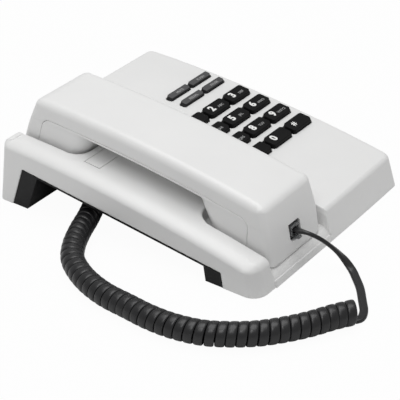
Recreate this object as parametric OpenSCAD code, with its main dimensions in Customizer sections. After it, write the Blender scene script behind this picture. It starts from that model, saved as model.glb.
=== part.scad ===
// Corded desk telephone: wedge base with a keypad panel on the right, a cradle bay on the left,
// and a slab handset on a curly cord. Origin: middle of the footprint, on the desk.
// +X is the user's right, +Y is the rear, +Z is up. Millimetres.

/* [Base] */
// Width of the base at the desk
base_w = 150; // [140:1:165]
// Depth of the base at the desk
base_d = 200; // [190:1:215]
// Height of the keypad panel at its rear edge
panel_rear_z = 45; // [42:0.5:52]
// Height of the keypad panel at its front edge
panel_front_z = 20.5; // [19:0.5:24]
// Radius of the arc that the panel follows from front to rear
panel_arc_r = 1000; // [800:50:1500]
// How far the side walls lean in over the full height
side_draft = 3; // [0:0.5:5]
// How far the front wall leans in up to the panel
front_draft = 5; // [2:0.5:7]
// How far the rear wall leans in up to the panel
rear_draft = 7; // [3:0.5:8]
// Radius of the upright corner at the rim's front end
corner_r = 12; // [6:1:15]
// Radius of the other upright corners of the base
back_corner_r = 5; // [3:0.5:8]
// Wall thickness of the upper housing
wall = 2.2; // [1.8:0.1:2.6]
// Rounding of the panel's long right edge
panel_edge_r = 3; // [1:0.5:4]
// Gap between the desk and the upper housing
skirt_gap = 0.5; // [0.3:0.1:1]

/* [Arch under the base] */
// Distance from the front of the base to the arch
arch_front_in = 25; // [22:1:30]
// Distance from the rear of the base to the arch
arch_rear_in = 12; // [10:1:16]
// Height of the arch at its front end
arch_front_z = 9.5; // [8.5:0.5:10]
// Height of the arch at its rear end
arch_rear_z = 27; // [24:0.5:28]
// How far the front end of the arch leans
arch_front_lean = 1.5; // [0:0.5:4]
// How far the rear end of the arch leans
arch_rear_lean = 10; // [4:0.5:12]
// Depth of each dark foot, front to rear
foot_d = 12.5; // [11:0.5:16]
// Wall thickness of the lower housing
floor_t = 1.8; // [1.5:0.1:2.4]
// How far the lower housing shows below the edge of the arch
floor_drop = 1.2; // [0.8:0.1:1.6]
// Clearance between the lower housing and the walls round it
floor_clear = 0.3; // [0.2:0.05:0.5]

/* [Cradle] */
// Width of the strip left of the wells
rim_w = 17; // [15:0.5:18]
// Rounding of the strip's outer edge
rim_r = 6; // [4:0.5:8]
// Gap between the handset and the left side of the wells
left_gap = 2; // [1.5:0.1:3]
// Gap between the handset and the panel
right_gap = 4; // [2:0.5:5]
// Depth of the strip and of the bridge between the wells, below the panel's arc
bridge_drop = 2.5; // [1.5:0.5:4]
// Gap between the handset's cups and the floors of the wells
seat_gap = 0.3; // [0.25:0.05:0.5]
// Distance from the front of the base to the inner end of the mouthpiece's well
mouth_well_in = 57; // [56:0.5:60]
// Distance from the rear of the base to the inner end of the earpiece's well
ear_well_in = 57.5; // [56:0.5:60]
// Corner radius of the wells' inner ends
well_r = 11; // [8:0.5:14]

/* [Handset] */
// Width of the handset
handset_w = 50; // [46:0.5:52]
// Height of the handset's back above the panel's arc
handset_top = 23; // [21:0.5:26]
// Height of the grip's underside above the panel's arc
grip_under = 10; // [8:0.5:11]
// Depth of the two cups below the panel's arc
cup_drop = 11; // [10:0.25:11.5]
// Distance from the front of the base to the front end of the handset's back
back_front_in = 13; // [10:0.5:15]
// Distance from the rear of the base to the rear end of the handset's back
back_rear_in = 21; // [18:0.5:24]
// Distance from the front of the base to the mouthpiece's foot
foot_front_in = 5; // [4.5:0.5:7]
// Distance from the rear of the base to the earpiece's foot
foot_rear_in = 7; // [6:0.5:10]
// Distance from the front of the base to the inner end of the mouthpiece's foot
mouth_cup_in = 51; // [50:0.5:52]
// Distance from the rear of the base to the inner end of the earpiece's foot
ear_cup_in = 51.5; // [50:0.5:52]
// Lean of the mouthpiece's inner end, from the upright
mouth_lean = 25; // [15:1:26]
// Lean of the earpiece's inner end, from the upright
ear_lean = 28; // [15:1:29]
// Corner radius of the mouthpiece's inner end
mouth_r = 13; // [8:0.5:15]
// Corner radius of the earpiece's inner end
ear_r = 9; // [6:0.5:12]
// Bulge of the handset's end faces
end_bulge = 1.3; // [0:0.1:2]
// Rounding of the handset's long top edges
back_r = 5; // [2:0.5:6]
// Wall thickness of the handset shells
shell_t = 2; // [1.6:0.1:2.4]
// Height of the lower shell's strip on the grip's side
seam_h = 1.8; // [1.2:0.1:2.5]
// Distance from each end of the handset to the lower shell's end
end_cap = 15; // [12:0.5:17]

/* [Keypad] */
// Panel left free beside the right column, up to the side of the base
keys_right_in = 8.1; // [7.5:0.1:11]
// Panel left free beside the left column, up to the bay
keys_left_in = 4.7; // [4.2:0.1:8]
// Gap between two keys of a row
key_gap_x = 0.6; // [0.5:0.1:2]
// Distance from the rear of the base to the rear digit row
keys_rear_in = 84.5; // [82:0.5:88]
// Row pitch of the digit keys
key_pitch_y = 15.7; // [15.2:0.1:16]
// Depth of a digit key
key_d = 10; // [8:0.1:10.4]
// Height of a digit key above the panel
key_h = 3; // [2.2:0.1:4]
// Distance from the rear of the base to the rear row of function keys
fn_rear_in = 57.4; // [56:0.1:60]
// Row pitch of the function keys
fn_pitch_y = 10.9; // [9.5:0.1:11]
// Depth of a function key
fn_d = 5.1; // [4:0.1:6]
// Height of a function key above the panel
fn_h = 2.2; // [1.8:0.1:3]
// Cut corner of a digit key
key_cut = 2.7; // [1:0.1:3.5]
// Cut corner of a function key
fn_cut = 1.9; // [1:0.1:2.2]
// Clearance between a key and its hole, each side
key_gap = 0.35; // [0.25:0.05:0.5]
// Travel of a key
key_travel = 1.5; // [1:0.1:1.6]
// Width of the flange that keeps a key in its hole
key_flange = 0.9; // [0.6:0.1:1]

/* [Hook lever] */
// Distance from the earpiece's well to the middle of the lever's bar
hook_in = 10.9; // [10:0.1:13]
// Width of the bar, front to rear
hook_w = 11.2; // [9:0.2:11.6]
// Gap round the bar
hook_gap = 0.7; // [0.6:0.05:1]
// Width of the tongue that the earpiece presses
tongue_w = 12; // [8:0.5:16]
// Thickness of the tongue
hook_t = 2.4; // [1.8:0.1:2.6]
// Radius of the pivot pins
pin_r = 1.5; // [1:0.1:1.8]
// Radial clearance of the pivot pins
pin_clear = 0.06; // [0.02:0.01:0.1]
// Depth of the pivot below the bar's top
pivot_drop = 4.2; // [4.1:0.1:4.6]
// Thickness of the bar's skin
bar_t = 1.1; // [0.9:0.1:1.2]
// Angle by which the lever rises when the handset is lifted
hook_angle = 7.5; // [4:0.5:8]

/* [Cord and plugs] */
// Width of the flat cord
cord_w = 4.8; // [4:0.1:5.5]
// Outer diameter of the curly cord's coil
coil_od = 14; // [11:0.5:15]
// Width of a four-way modular plug
plug_w = 7.7; // [7.6:0.05:7.8]
// Height of the plug's body
plug_h = 6.6; // [6.4:0.05:6.7]
// Length of the plug's body
plug_l = 11.7; // [11:0.1:12]
// Clearance between a plug and its jack, each side
plug_gap = 0.2; // [0.1:0.05:0.3]
// Wall of the jacks
jack_wall = 1.5; // [1.2:0.1:2]
// Height of the handset's socket above the panel's arc
socket_up = 2.1; // [1:0.1:3]
// Distance from the middle of the bay to the base's cord socket
base_jack_in = 5; // [0:1:10]
// X of the line socket in the rear wall
line_jack_x = 30; // [20:1:45]

/* [Hidden] */
$fn = 48;
ARC_FN = 720;
EPS = 0.01;

front_y = -base_d / 2;
rear_y = base_d / 2;
arch_front_y = front_y + arch_front_in;
arch_rear_y = rear_y - arch_rear_in;
bay_x0 = -base_w / 2 + rim_w;
bay_x = bay_x0 + left_gap + handset_w / 2;
bay_w = left_gap + handset_w + right_gap;
bay_x1 = bay_x0 + bay_w;
back_front_y = front_y + back_front_in;
back_rear_y = rear_y - back_rear_in;
foot_front_y = front_y + foot_front_in;
foot_rear_y = rear_y - foot_rear_in;
mouth_well_y = front_y + mouth_well_in;
ear_well_y = rear_y - ear_well_in;
mouth_cup_y = front_y + mouth_cup_in;
ear_cup_y = rear_y - ear_cup_in;
hook_y = ear_well_y - hook_in;
base_jack_x = bay_x - base_jack_in;

// The panel's arc runs through the top edges of the front and rear walls.
arc_y0 = front_y + front_draft;
arc_y1 = rear_y - rear_draft;
chord_y = arc_y1 - arc_y0;
chord_z = panel_rear_z - panel_front_z;
chord = sqrt(chord_y * chord_y + chord_z * chord_z);
arc_h = sqrt(panel_arc_r * panel_arc_r - chord * chord / 4);
arc_cy = (arc_y0 + arc_y1) / 2 + arc_h * chord_z / chord;
arc_cz = (panel_front_z + panel_rear_z) / 2 - arc_h * chord_y / chord;

// Height of the surface that lies off above the panel's arc, at y
function az(y, off) = arc_cz + sqrt(pow(panel_arc_r + off, 2) - pow(y - arc_cy, 2));
// Lean of that surface at y, in degrees, rear side up
function tilt(y) = asin((arc_cy - y) / panel_arc_r);
// Points of an arc off above the panel, from y0 to y1
function arc_pts(off, y0, y1, n = 24) =
    [for (i = [0:n]) let (y = y0 + (y1 - y0) * i / n) [y, az(y, off)]];

well_drop = cup_drop + seat_gap;

// Underside of the arch in the side walls
arch_slope = (arch_rear_z - arch_front_z)
    / (arch_rear_y - arch_rear_lean - arch_front_y - arch_front_lean);
arch_tilt = atan(arch_slope);
function arch_z(y) = arch_front_z + (y - arch_front_y - arch_front_lean) * arch_slope;
// Top of the lower housing's deck
function deck_z(y) = arch_z(y) - floor_drop + floor_t;

// 2D shapes
module round_rect(w, d, r) {
    square([w - 2 * r, d], center = true);
    square([w, d - 2 * r], center = true);
    for (sx = [-1, 1]) for (sy = [-1, 1])
        translate([sx * (w / 2 - r), sy * (d / 2 - r)]) circle(r = r);
}

// Plan of the base, moved in by t: its front left corner is rounder than the others
module base_plan(t) {
    w = base_w / 2 - t;
    d = base_d / 2 - t;
    r = corner_r - t;
    q = back_corner_r - t;
    translate([r - w, -d]) square([2 * w - r - q, 2 * d]);
    translate([-w, r - d]) square([2 * w, 2 * d - r - q]);
    translate([0, q - d]) square([w, r]);
    translate([q - w, 0]) square([r, d]);
    translate([r - w, r - d]) circle(r = r);
    translate([w - q, q - d]) circle(r = q);
    for (s = [-1, 1]) translate([s * (w - q), d - q]) circle(r = q);
}

// A rectangle with cut corners
module cut_rect(w, d, c) {
    polygon([[c - w / 2, -d / 2], [w / 2 - c, -d / 2], [w / 2, c - d / 2], [w / 2, d / 2 - c],
        [w / 2 - c, d / 2], [c - w / 2, d / 2], [-w / 2, d / 2 - c], [-w / 2, c - d / 2]]);
}

// A side view outline, Y across and Z up, made solid from x0 to x1
module along_x(x0, x1) {
    translate([x0, 0, 0]) rotate([90, 0, 90]) linear_extrude(x1 - x0) children();
}

// A front view outline, X across and Z up, made solid from y0 to y1
module along_y(y0, y1) {
    translate([0, y1, 0]) rotate([90, 0, 0]) linear_extrude(y1 - y0) children();
}

// A section, distance from the arc's centre across and X up, carried along the arc
module along_arc() {
    span = asin((base_d / 2 + arc_cy + 10) / panel_arc_r);
    translate([0, arc_cy, arc_cz]) rotate([0, 90, 0]) rotate([0, 0, 180])
        rotate_extrude(angle = span, $fn = ARC_FN) children();
}

// A solid between two arcs, off0 and off1 above the panel, from x0 to x1
module arc_slab(off0, off1, x0, x1) {
    along_arc() translate([panel_arc_r + off0, x0]) square([off1 - off0, x1 - x0]);
}

// ---- Base housing ----

// Section of the housing's top: strip and bridge on the left, panel on the right
module top_section(inset) {
    low = 70;
    r0 = panel_arc_r - low;
    rim_x = -base_w / 2 + side_draft / 2;
    panel_x = base_w / 2 - side_draft / 2;
    translate([r0, rim_x + rim_r])
        square([low - bridge_drop - inset, bay_x1 + inset - rim_x - rim_r + EPS]);
    translate([r0, rim_x - side_draft])
        square([low - bridge_drop - rim_r, bay_x1 + inset - rim_x + side_draft]);
    translate([panel_arc_r - bridge_drop - rim_r, rim_x + rim_r]) circle(r = rim_r - inset);
    translate([r0, bay_x1 + inset]) square([low - panel_edge_r, panel_x - bay_x1 - inset + side_draft]);
    translate([r0, bay_x1 + inset])
        square([low - inset, panel_x - bay_x1 - inset - max(panel_edge_r, inset)]);
    translate([panel_arc_r - panel_edge_r, panel_x - panel_edge_r])
        circle(r = max(panel_edge_r - inset, EPS));
}

// The housing's outer form, or its inner form when inset by the wall
module housing_form(inset) {
    tall = 60;
    lean_f = front_draft / panel_front_z * tall;
    lean_r = rear_draft / panel_rear_z * tall;
    lean_s = side_draft / panel_rear_z * tall;
    intersection() {
        translate([0, 0, inset > 0 ? -1 : skirt_gap]) linear_extrude(tall) base_plan(inset);
        along_x(-base_w, base_w) polygon([
            [-base_d / 2 + inset, 0], [base_d / 2 - inset, 0],
            [base_d / 2 - inset - lean_r, tall], [-base_d / 2 + inset + lean_f, tall]]);
        along_y(-base_d, base_d) polygon([
            [-base_w / 2 + inset, -1], [base_w / 2 - inset, -1],
            [base_w / 2 - inset - lean_s, tall], [-base_w / 2 + inset + lean_s, tall]]);
        along_arc() top_section(inset);
    }
}

// Plan from a rounded inner end at the origin out to +Y, between x0 and x1
module end_plan(x0, x1, r) {
    translate([x0, r]) square([x1 - x0, base_d]);
    translate([x0 + r, 0]) square([x1 - x0 - 2 * r, base_d]);
    for (x = [x0 + r, x1 - r]) translate([x, r]) circle(r = r);
}

// The two wells that the cups drop into, open at the ends of the base. grow is the wall round them.
module wells(grow, drop) {
    intersection() {
        linear_extrude(120) {
            translate([0, ear_well_y - grow]) end_plan(bay_x0 - grow, bay_x1 + grow, well_r + grow);
            translate([0, mouth_well_y + grow]) mirror([0, 1])
                end_plan(bay_x0 - grow, bay_x1 + grow, well_r + grow);
        }
        arc_slab(-drop, 60, bay_x0 - grow - 1, bay_x1 + grow + 1);
    }
}

// Side view of the arch
module arch_outline() {
    polygon([[arch_front_y, -5], [arch_front_y, skirt_gap],
        [arch_front_y + arch_front_lean, arch_front_z],
        [arch_rear_y - arch_rear_lean, arch_rear_z], [arch_rear_y, skirt_gap], [arch_rear_y, -5]]);
}

// Screws that hold the two housings together: [x, y, height of the boss's foot]
screw_x = base_w / 2 - 8.5;
screw_r = 1.5;
boss_r = 3.2;
foot_front_mid = arch_front_y + foot_d / 2;
foot_rear_mid = arch_rear_y - foot_d / 2;
screw_spots = [[-screw_x, foot_front_mid], [screw_x, foot_front_mid],
    [-screw_x, foot_rear_mid], [screw_x, foot_rear_mid]];
screw_l = 12;
screw_head_r = 2.8;
screw_head_h = 1.2;
boss_foot_z = 4;

// Keypad frame: it lies on the panel's arc at the middle of the keys, Z along the arc's normal.
keys_right_x = base_w / 2 - keys_right_in;
keys_rear_y = rear_y - keys_rear_in;
fn_rear_y = rear_y - fn_rear_in;
key_l = (keys_right_x - bay_x1 - keys_left_in - 2 * key_gap_x) / 3;
key_pitch_x = key_l + key_gap_x;
keypad_y = (fn_rear_y + keys_rear_y - 3 * key_pitch_y - key_d) / 2;
module on_panel() {
    translate([0, keypad_y, az(keypad_y, 0)]) rotate([tilt(keypad_y), 0, 0]) children();
}
function on_panel_y(y) = (y - keypad_y) / cos(tilt(keypad_y));
function sag(v) = panel_arc_r - sqrt(panel_arc_r * panel_arc_r - v * v);
function key_x(col) = keys_right_x - key_l / 2 - key_pitch_x * (2 - col);
function row_y(row) = on_panel_y(keys_rear_y - key_d / 2 - key_pitch_y * row);
function fn_y(row) = on_panel_y(fn_rear_y - fn_d / 2 - fn_pitch_y * row);

key_under = wall + key_travel + 1.6;
flange_t = 1.2;
mat_t = 0.8;
board_t = 1.6;
mat_z = -(key_under + key_travel + 0.85);
board_z = mat_z - mat_t - board_t;
pad_x = key_x(1);
pad_margin = 1;
pad_w = 2 * key_pitch_x + key_l + 2 * pad_margin;
pad_y = (fn_y(0) + row_y(3)) / 2;
pad_d = fn_y(0) - row_y(3) + key_d + 2 * (key_flange + pad_margin);
board_x0 = pad_x - pad_w / 2;
board_x1 = pad_x + pad_w / 2;
post_r = 1.6;
post_hole_r = 0.9;

module key_holes() {
    for (col = [0:2]) for (row = [0:3]) translate([key_x(col), row_y(row), -8])
        linear_extrude(16) cut_rect(key_l + 2 * key_gap, key_d + 2 * key_gap, key_cut);
    for (col = [1:2]) for (row = [0:1]) translate([key_x(col), fn_y(row), -8])
        linear_extrude(16) cut_rect(key_l + 2 * key_gap, fn_d + 2 * key_gap, fn_cut);
}

// Posts that carry the keypad board, in the gaps between the rows of keys
post_spots = [for (col = [0, 2]) for (row = [0.5, 2.5]) [key_x(col), row_y(row)]];

// Pivot of the hook lever
hook_top = az(hook_y, -bridge_drop);
pivot_z = hook_top - pivot_drop;
hook_x0 = bay_x0 - 4.2;
hook_x1 = bay_x1 - 1.5;
bracket_t = 3;
bracket_gap = 0.3;
tongue_tip_y = ear_cup_y + 11;
tongue_slot = tongue_w + 2 * hook_gap;

module upper_housing() {
    color([0.9, 0.9, 0.9]) difference() {
        union() {
            difference() {
                housing_form(0);
                wells(0, well_drop);
                difference() {
                    housing_form(wall);
                    wells(wall, well_drop + wall);
                }
                on_panel() key_holes();
            }
            bosses();
            hook_brackets();
        }
        along_x(-base_w, base_w) arch_outline();
        hook_slot();
        for (s = screw_spots) translate([s[0], s[1], 0])
            cylinder(r = screw_r + 0.05, h = boss_foot_z + screw_l);
        on_panel() for (p = post_spots) translate([p[0], p[1], board_z - EPS])
            cylinder(r = post_hole_r + 0.05, h = 5, $fn = 24);
        line_opening();
    }
}

// Screw bosses and keypad posts, trimmed to the inside of the housing
module bosses() {
    intersection() {
        union() {
            for (s = screw_spots) translate([s[0], s[1], deck_foot_z]) cylinder(r = boss_r, h = 60);
            on_panel() for (p = post_spots)
                translate([p[0], p[1], board_z + board_t]) cylinder(r = post_r, h = 20);
        }
        housing_form(EPS);
    }
}
deck_foot_z = skirt_gap + floor_t + 0.3;

// Bearings of the hook lever under the ends of the bridge
module hook_brackets() {
    intersection() {
        for (x = [hook_x0 - bracket_gap - bracket_t + 1.5, hook_x1 + bracket_gap - 1.5])
            along_x(x, x + bracket_t) translate([hook_y - 4, pivot_z - 3.2]) square([8, 12]);
        arc_slab(-30, -bridge_drop - EPS, hook_x0 - bracket_t, bay_x1 + 3);
    }
}

// Room for the lever: the gap round its bar, the tongue's way into the well, and the pins' bores
module hook_slot() {
    x0 = hook_x0 + 3;
    x1 = hook_x1 - 3;
    translate([x0 - hook_gap, hook_y - hook_w / 2 - hook_gap, pivot_z - 3.5])
        cube([x1 - x0 + 2 * hook_gap, hook_w + 2 * hook_gap, 30]);
    translate([bay_x - tongue_slot / 2, hook_y, pivot_z - 12])
        cube([tongue_slot, tongue_tip_y + hook_gap - hook_y, 40]);
    translate([hook_x0 - 4, hook_y, pivot_z]) rotate([0, 90, 0])
        cylinder(r = pin_r + pin_clear, h = hook_x1 - hook_x0 + 7);
}

module line_opening() {
    translate([line_jack_x, base_d / 2, line_jack_z])
        cube([line_in_w - 2 * jack_room, 16, jack_in_h - 2 * jack_room], center = true);
}

// Side view of the lower housing's outside, moved in by t
module floor_outline(t) {
    f = arch_front_y;
    r = arch_rear_y;
    z0 = skirt_gap + t;
    foot_in_y = f + foot_d + arch_front_lean;
    foot_out_y = r - arch_rear_lean - foot_d;
    polygon(concat(
        [[-base_d / 2 + wall + floor_clear + front_draft / 4 + t, z0]],
        [[f + foot_d - t * 0.9, z0]],
        [[foot_in_y - t * 0.9, arch_z(foot_in_y - t * 0.9) - floor_drop + t]],
        [[foot_out_y + t, arch_z(foot_out_y + t) - floor_drop + t]],
        [[r - foot_d + t, z0]],
        [[base_d / 2 - wall - floor_clear - rear_draft / 4 - t, z0]],
        [[base_d / 2 - wall - floor_clear - rear_draft / 4 - t, 60]],
        [[-base_d / 2 + wall + floor_clear + front_draft / 4 + t, 60]]));
}

module lower_housing() {
    half = base_w / 2 - wall - floor_clear - side_draft / 2;
    color([0.08, 0.08, 0.08]) difference() {
        union() {
            intersection() {
                along_x(-half, half) difference() {
                    floor_outline(0);
                    floor_outline(floor_t);
                    polygon([[-base_d, 60], [base_d, 60], [base_d, 5], [arch_rear_y - 4, 5],
                        [arch_rear_y - 9, deck_top_rear], [arch_front_y + 8, deck_top_front],
                        [arch_front_y + 4, 5], [-base_d, 5]]);
                }
                linear_extrude(60) round_rect(2 * half, base_d - 2 * (wall + floor_clear),
                    corner_r - wall);
            }
            side_rims(half - floor_t);
            jack_seat();
        }
        for (s = screw_spots) translate([s[0], s[1], -1]) {
            cylinder(r = screw_r + 0.3, h = 20);
            cylinder(r = screw_head_r + 0.3, h = 1 + skirt_gap + screw_head_h + 0.05);
        }
        base_jack_room();
        translate([line_jack_x - line_jack_w / 2 - jack_room, line_jack_y - 10, skirt_gap + floor_t])
            cube([line_jack_w + 2 * jack_room, 20, line_jack_z]);
    }
}
deck_top_front = arch_z(arch_front_y) + 12;
deck_top_rear = arch_z(arch_rear_y) + 12;

// Edge of the lower housing under the side walls, with the outer ends of the two feet
rim_in = 0.35;
module side_rims(x) {
    intersection() {
        union() {
            along_x(x, base_w) rim_outline();
            along_x(-base_w, -x) rim_outline();
        }
        along_y(-base_d, base_d) polygon([
            [rim_in - base_w / 2, 0], [base_w / 2 - rim_in, 0],
            [base_w / 2 - rim_in - side_draft, panel_rear_z], [rim_in + side_draft - base_w / 2, panel_rear_z]]);
    }
}
module rim_outline() {
    f = arch_front_y;
    r = arch_rear_y;
    foot_in_y = f + foot_d + arch_front_lean;
    foot_out_y = r - arch_rear_lean - foot_d;
    polygon([[f + floor_clear, skirt_gap], [f + foot_d, skirt_gap],
        [foot_in_y, arch_z(foot_in_y) - floor_drop], [foot_out_y, arch_z(foot_out_y) - floor_drop],
        [r - foot_d, skirt_gap], [r - floor_clear, skirt_gap],
        [r - arch_rear_lean - floor_clear, arch_rear_z - floor_clear],
        [f + arch_front_lean + floor_clear, arch_front_z - floor_clear]]);
}

// Wall that carries the base's cord socket, behind the front face of the rear foot
base_jack_z = 10;
base_jack_y = arch_rear_y - foot_d - 2;
jack_in_w = plug_w + 2 * plug_gap;
jack_in_h = plug_h + 2 * plug_gap;
jack_w = jack_in_w + 2 * jack_wall;
jack_h = jack_in_h + 2 * jack_wall;
latch_w = 3.2;
latch_t = 1.3;
latch_room = 2.6;
latch_out = 3.4;
jack_l = plug_l - 0.1;
// Gap round a socket's case
jack_room = 0.1;
// Inside width of the six-way socket of the line cord
line_in_w = 10;
line_jack_w = line_in_w + 2 * jack_wall;
line_jack_z = 13;
line_jack_l = jack_l - 2;
module jack_seat() {
    translate([base_jack_x - jack_w / 2 - 2, base_jack_y + 4, skirt_gap])
        cube([jack_w + 4, jack_l - 3, 1.5 + floor_t]);
}
module base_jack_room() {
    g = jack_room;
    translate([base_jack_x - jack_w / 2 - g, base_jack_y - 8, base_jack_z - jack_h / 2 - latch_room - g])
        cube([jack_w + 2 * g, jack_l + 8 + g, jack_h + latch_room + 2 * g]);
}

pad_r = 4;
pad_in = 25;
module rubber_feet() {
    spot_x = base_w / 2 - pad_in;
    color([0.05, 0.05, 0.05]) for (x = [-spot_x, spot_x]) {
        for (y = [foot_front_mid, foot_rear_mid]) translate([x, y, 0])
            cylinder(r = pad_r, h = skirt_gap);
    }
}

// One pan-head screw, head down, with its tip up
module screw_up(r, head_r, head_h, l) {
    cylinder(r = head_r, h = head_h);
    cylinder(r = r, h = l);
}
module housing_screws() {
    color([0.7, 0.7, 0.72]) for (s = screw_spots) translate([s[0], s[1], skirt_gap])
        screw_up(screw_r, screw_head_r, screw_head_h, screw_l);
}

// ---- Electronics in the base ----

// Frame on the lower housing's deck at y, X across and Z normal to the deck
module on_deck(y) {
    translate([0, y, deck_z(y)]) rotate([arch_tilt, 0, 0]) children();
}
main_x0 = bay_x1 + wall + 1.5;
main_x1 = base_w / 2 - side_draft - wall - 6;
main_y = (arch_front_y + arch_rear_y) / 2 + 1.5;
main_d = 0.52 * (arch_rear_y - arch_front_y);
main_up = 2.2;
main_t = 1.6;
main_mid = (main_x0 + main_x1) / 2;
main_w = main_x1 - main_x0;
standoff_r = 2.5;
standoff_in = 4;
module main_board() {
    color([0.1, 0.35, 0.15]) on_deck(main_y) {
        translate([main_mid, 0, main_up + main_t / 2]) cube([main_w, main_d, main_t], center = true);
        for (x = [main_x0 + standoff_in, main_x1 - standoff_in])
            for (y = [standoff_in - main_d / 2, main_d / 2 - standoff_in])
                translate([x, y, 0.05]) cylinder(r = standoff_r, h = main_up);
    }
}
// Block parts on the main board: x from its left edge, y from its middle, width, depth, height
BOARD_BLOCKS = [[24, 12, 18, 10, 2], [48, 14, 10, 8, 2], [46, -12, 12, 7, 2.4], [24, 34, 14, 6, 3]];
// Round parts on the main board: x, y, radius, height
BOARD_CANS = [[18, -12, 3, 3.2], [26, -12, 3, 3.2]];
module board_components() {
    color([0.15, 0.15, 0.17]) on_deck(main_y) translate([main_x0, 0, main_up + main_t + 0.02]) {
        for (p = BOARD_BLOCKS) translate([p[0], p[1], 0])
            linear_extrude(p[4]) square([p[2], p[3]], center = true);
        for (p = BOARD_CANS) translate([p[0], p[1], 0]) cylinder(r = p[2], h = p[3]);
    }
}
module keypad_board() {
    w = board_x1 - board_x0;
    color([0.1, 0.35, 0.15]) on_panel() difference() {
        translate([board_x0, pad_y - pad_d / 2, board_z]) cube([w, pad_d, board_t]);
        for (p = post_spots) translate([p[0], p[1], board_z - 1])
            cylinder(r = post_hole_r + 0.15, h = 4, $fn = 24);
    }
}
module keypad_mat() {
    color([0.75, 0.75, 0.72]) on_panel() difference() {
        translate([pad_x - pad_w / 2, pad_y - pad_d / 2, board_z + board_t + 0.02])
            cube([pad_w, pad_d, mat_t]);
        for (p = post_spots) translate([p[0], p[1], board_z]) cylinder(r = post_r + 0.2, h = 6);
    }
}
screw_s_head_r = 1.8;
screw_s_head_h = 1;
keypad_screw_l = 5.6;
module keypad_screws() {
    color([0.7, 0.7, 0.72]) on_panel() for (p = post_spots)
        translate([p[0], p[1], board_z - screw_s_head_h])
            screw_up(post_hole_r, screw_s_head_r, screw_s_head_h, keypad_screw_l);
}
// Flat ribbon that joins the two boards
ribbon_w = 12;
ribbon_t = 0.5;
ribbon_in = 10;
module keypad_ribbon() {
    y = main_y + main_d / 2 - 12;
    z_low = deck_z(y) + (main_up + main_t) / cos(arch_tilt) + 0.1;
    z_top = az(keypad_y, 0) + (y - keypad_y) * tan(tilt(keypad_y)) + board_z / cos(tilt(keypad_y)) - 0.15;
    color([0.8, 0.8, 0.78]) translate([board_x1 - ribbon_in - ribbon_w, y, z_low])
        cube([ribbon_w, ribbon_t, z_top - z_low]);
}
buzzer_y = (mouth_well_y + hook_y) / 2 - 6;
buzzer_r = 11;
buzzer_h = 5;
module buzzer() {
    color([0.1, 0.1, 0.1]) on_deck(buzzer_y) translate([bay_x, 0, 0.05]) difference() {
        cylinder(r = buzzer_r, h = buzzer_h);
        translate([0, 0, 3]) cylinder(r = 1.5, h = buzzer_h);
    }
}

// ---- Hook lever, its spring and its switch ----
switch_x = bay_x + 18;
finger_w = 5;
finger_l = 7;
finger_drop = 4.2;
module hook_lever() {
    x0 = hook_x0 + 3;
    x1 = hook_x1 - 3;
    tip_z = az(tongue_tip_y, -well_drop);
    elbow_y = hook_y + hook_w / 2 + 2.4;
    elbow_z = az(elbow_y, -well_drop);
    color([0.9, 0.9, 0.9]) {
        difference() {
            intersection() {
                translate([x0, hook_y - hook_w / 2, pivot_z - 1]) cube([x1 - x0, hook_w, 20]);
                arc_slab(-pivot_drop - 4, -bridge_drop, x0, x1);
            }
            translate([x0 + bar_t, hook_y - hook_w / 2 + bar_t, pivot_z - 8])
                cube([x1 - x0 - 2 * bar_t, hook_w - 2 * bar_t, 8 + pivot_drop - bar_t]);
        }
        translate([hook_x0 - 0.5, hook_y, pivot_z]) rotate([0, 90, 0])
            cylinder(r = pin_r, h = hook_x1 - hook_x0 + 1);
        along_x(bay_x - tongue_w / 2, bay_x + tongue_w / 2) polygon([
            [hook_y + hook_w / 2 - bar_t, hook_top], [hook_y + hook_w / 2, hook_top],
            [elbow_y, elbow_z], [tongue_tip_y, tip_z], [tongue_tip_y, tip_z - hook_t],
            [elbow_y - 1.5, elbow_z - hook_t], [hook_y + hook_w / 2 - bar_t, pivot_z - 1]]);
        translate([switch_x - finger_w / 2, hook_y - hook_w / 2 - finger_l, hook_top - finger_drop - 2])
            cube([finger_w, finger_l + bar_t, 2]);
    }
}
coil_wire = 0.5;
coil_turns = 4;
module hook_spring() {
    x = hook_x1 - 3 - bar_t - 0.4 - 2 * coil_wire * coil_turns;
    r = pin_r + coil_wire + 0.25;
    color([0.7, 0.7, 0.72]) {
        translate([x, hook_y, pivot_z]) rotate([0, 90, 0]) difference() {
            cylinder(r = r + coil_wire, h = 2 * coil_wire * coil_turns);
            translate([0, 0, -1]) cylinder(r = r - coil_wire, h = 2 * coil_wire * coil_turns + 2);
        }
        translate([x, hook_y + r, pivot_z - spring_leg])
            cylinder(r = coil_wire, h = spring_leg, $fn = 16);
    }
}
spring_leg = pivot_z - deck_z(hook_y + 2) - 0.3;
switch_h = 6.5;
module hook_switch() {
    y = hook_y - hook_w / 2 - finger_l + 2;
    top = hook_top - finger_drop - 2 - (finger_l + hook_w / 2) * sin(hook_angle) - 0.3;
    color([0.12, 0.12, 0.13]) {
        on_deck(y) translate([switch_x - 6, -3, 0.05]) cube([12, 6, switch_h - 0.05]);
        translate([switch_x - 1.5, y - 1.5, deck_z(y) + switch_h / 2])
            cube([3, 3, top - deck_z(y) - switch_h / 2]);
    }
}

// ---- Jacks and plugs ----

// Socket case: its mouth is at the origin and faces -Y, its latch side is down
module jack_shell(l, in_w = jack_in_w) {
    w = in_w + 2 * jack_wall;
    difference() {
        translate([-w / 2, 0, -jack_h / 2 - latch_room]) cube([w, l, jack_h + latch_room]);
        translate([-in_w / 2, -1, -jack_in_h / 2]) cube([in_w, l - jack_wall + 1, jack_in_h]);
        translate([-latch_w / 2 - 0.4, -1, -jack_in_h / 2 - latch_room + 0.2])
            cube([latch_w + 0.8, l - jack_wall + 1, latch_room + 1]);
    }
}
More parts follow.
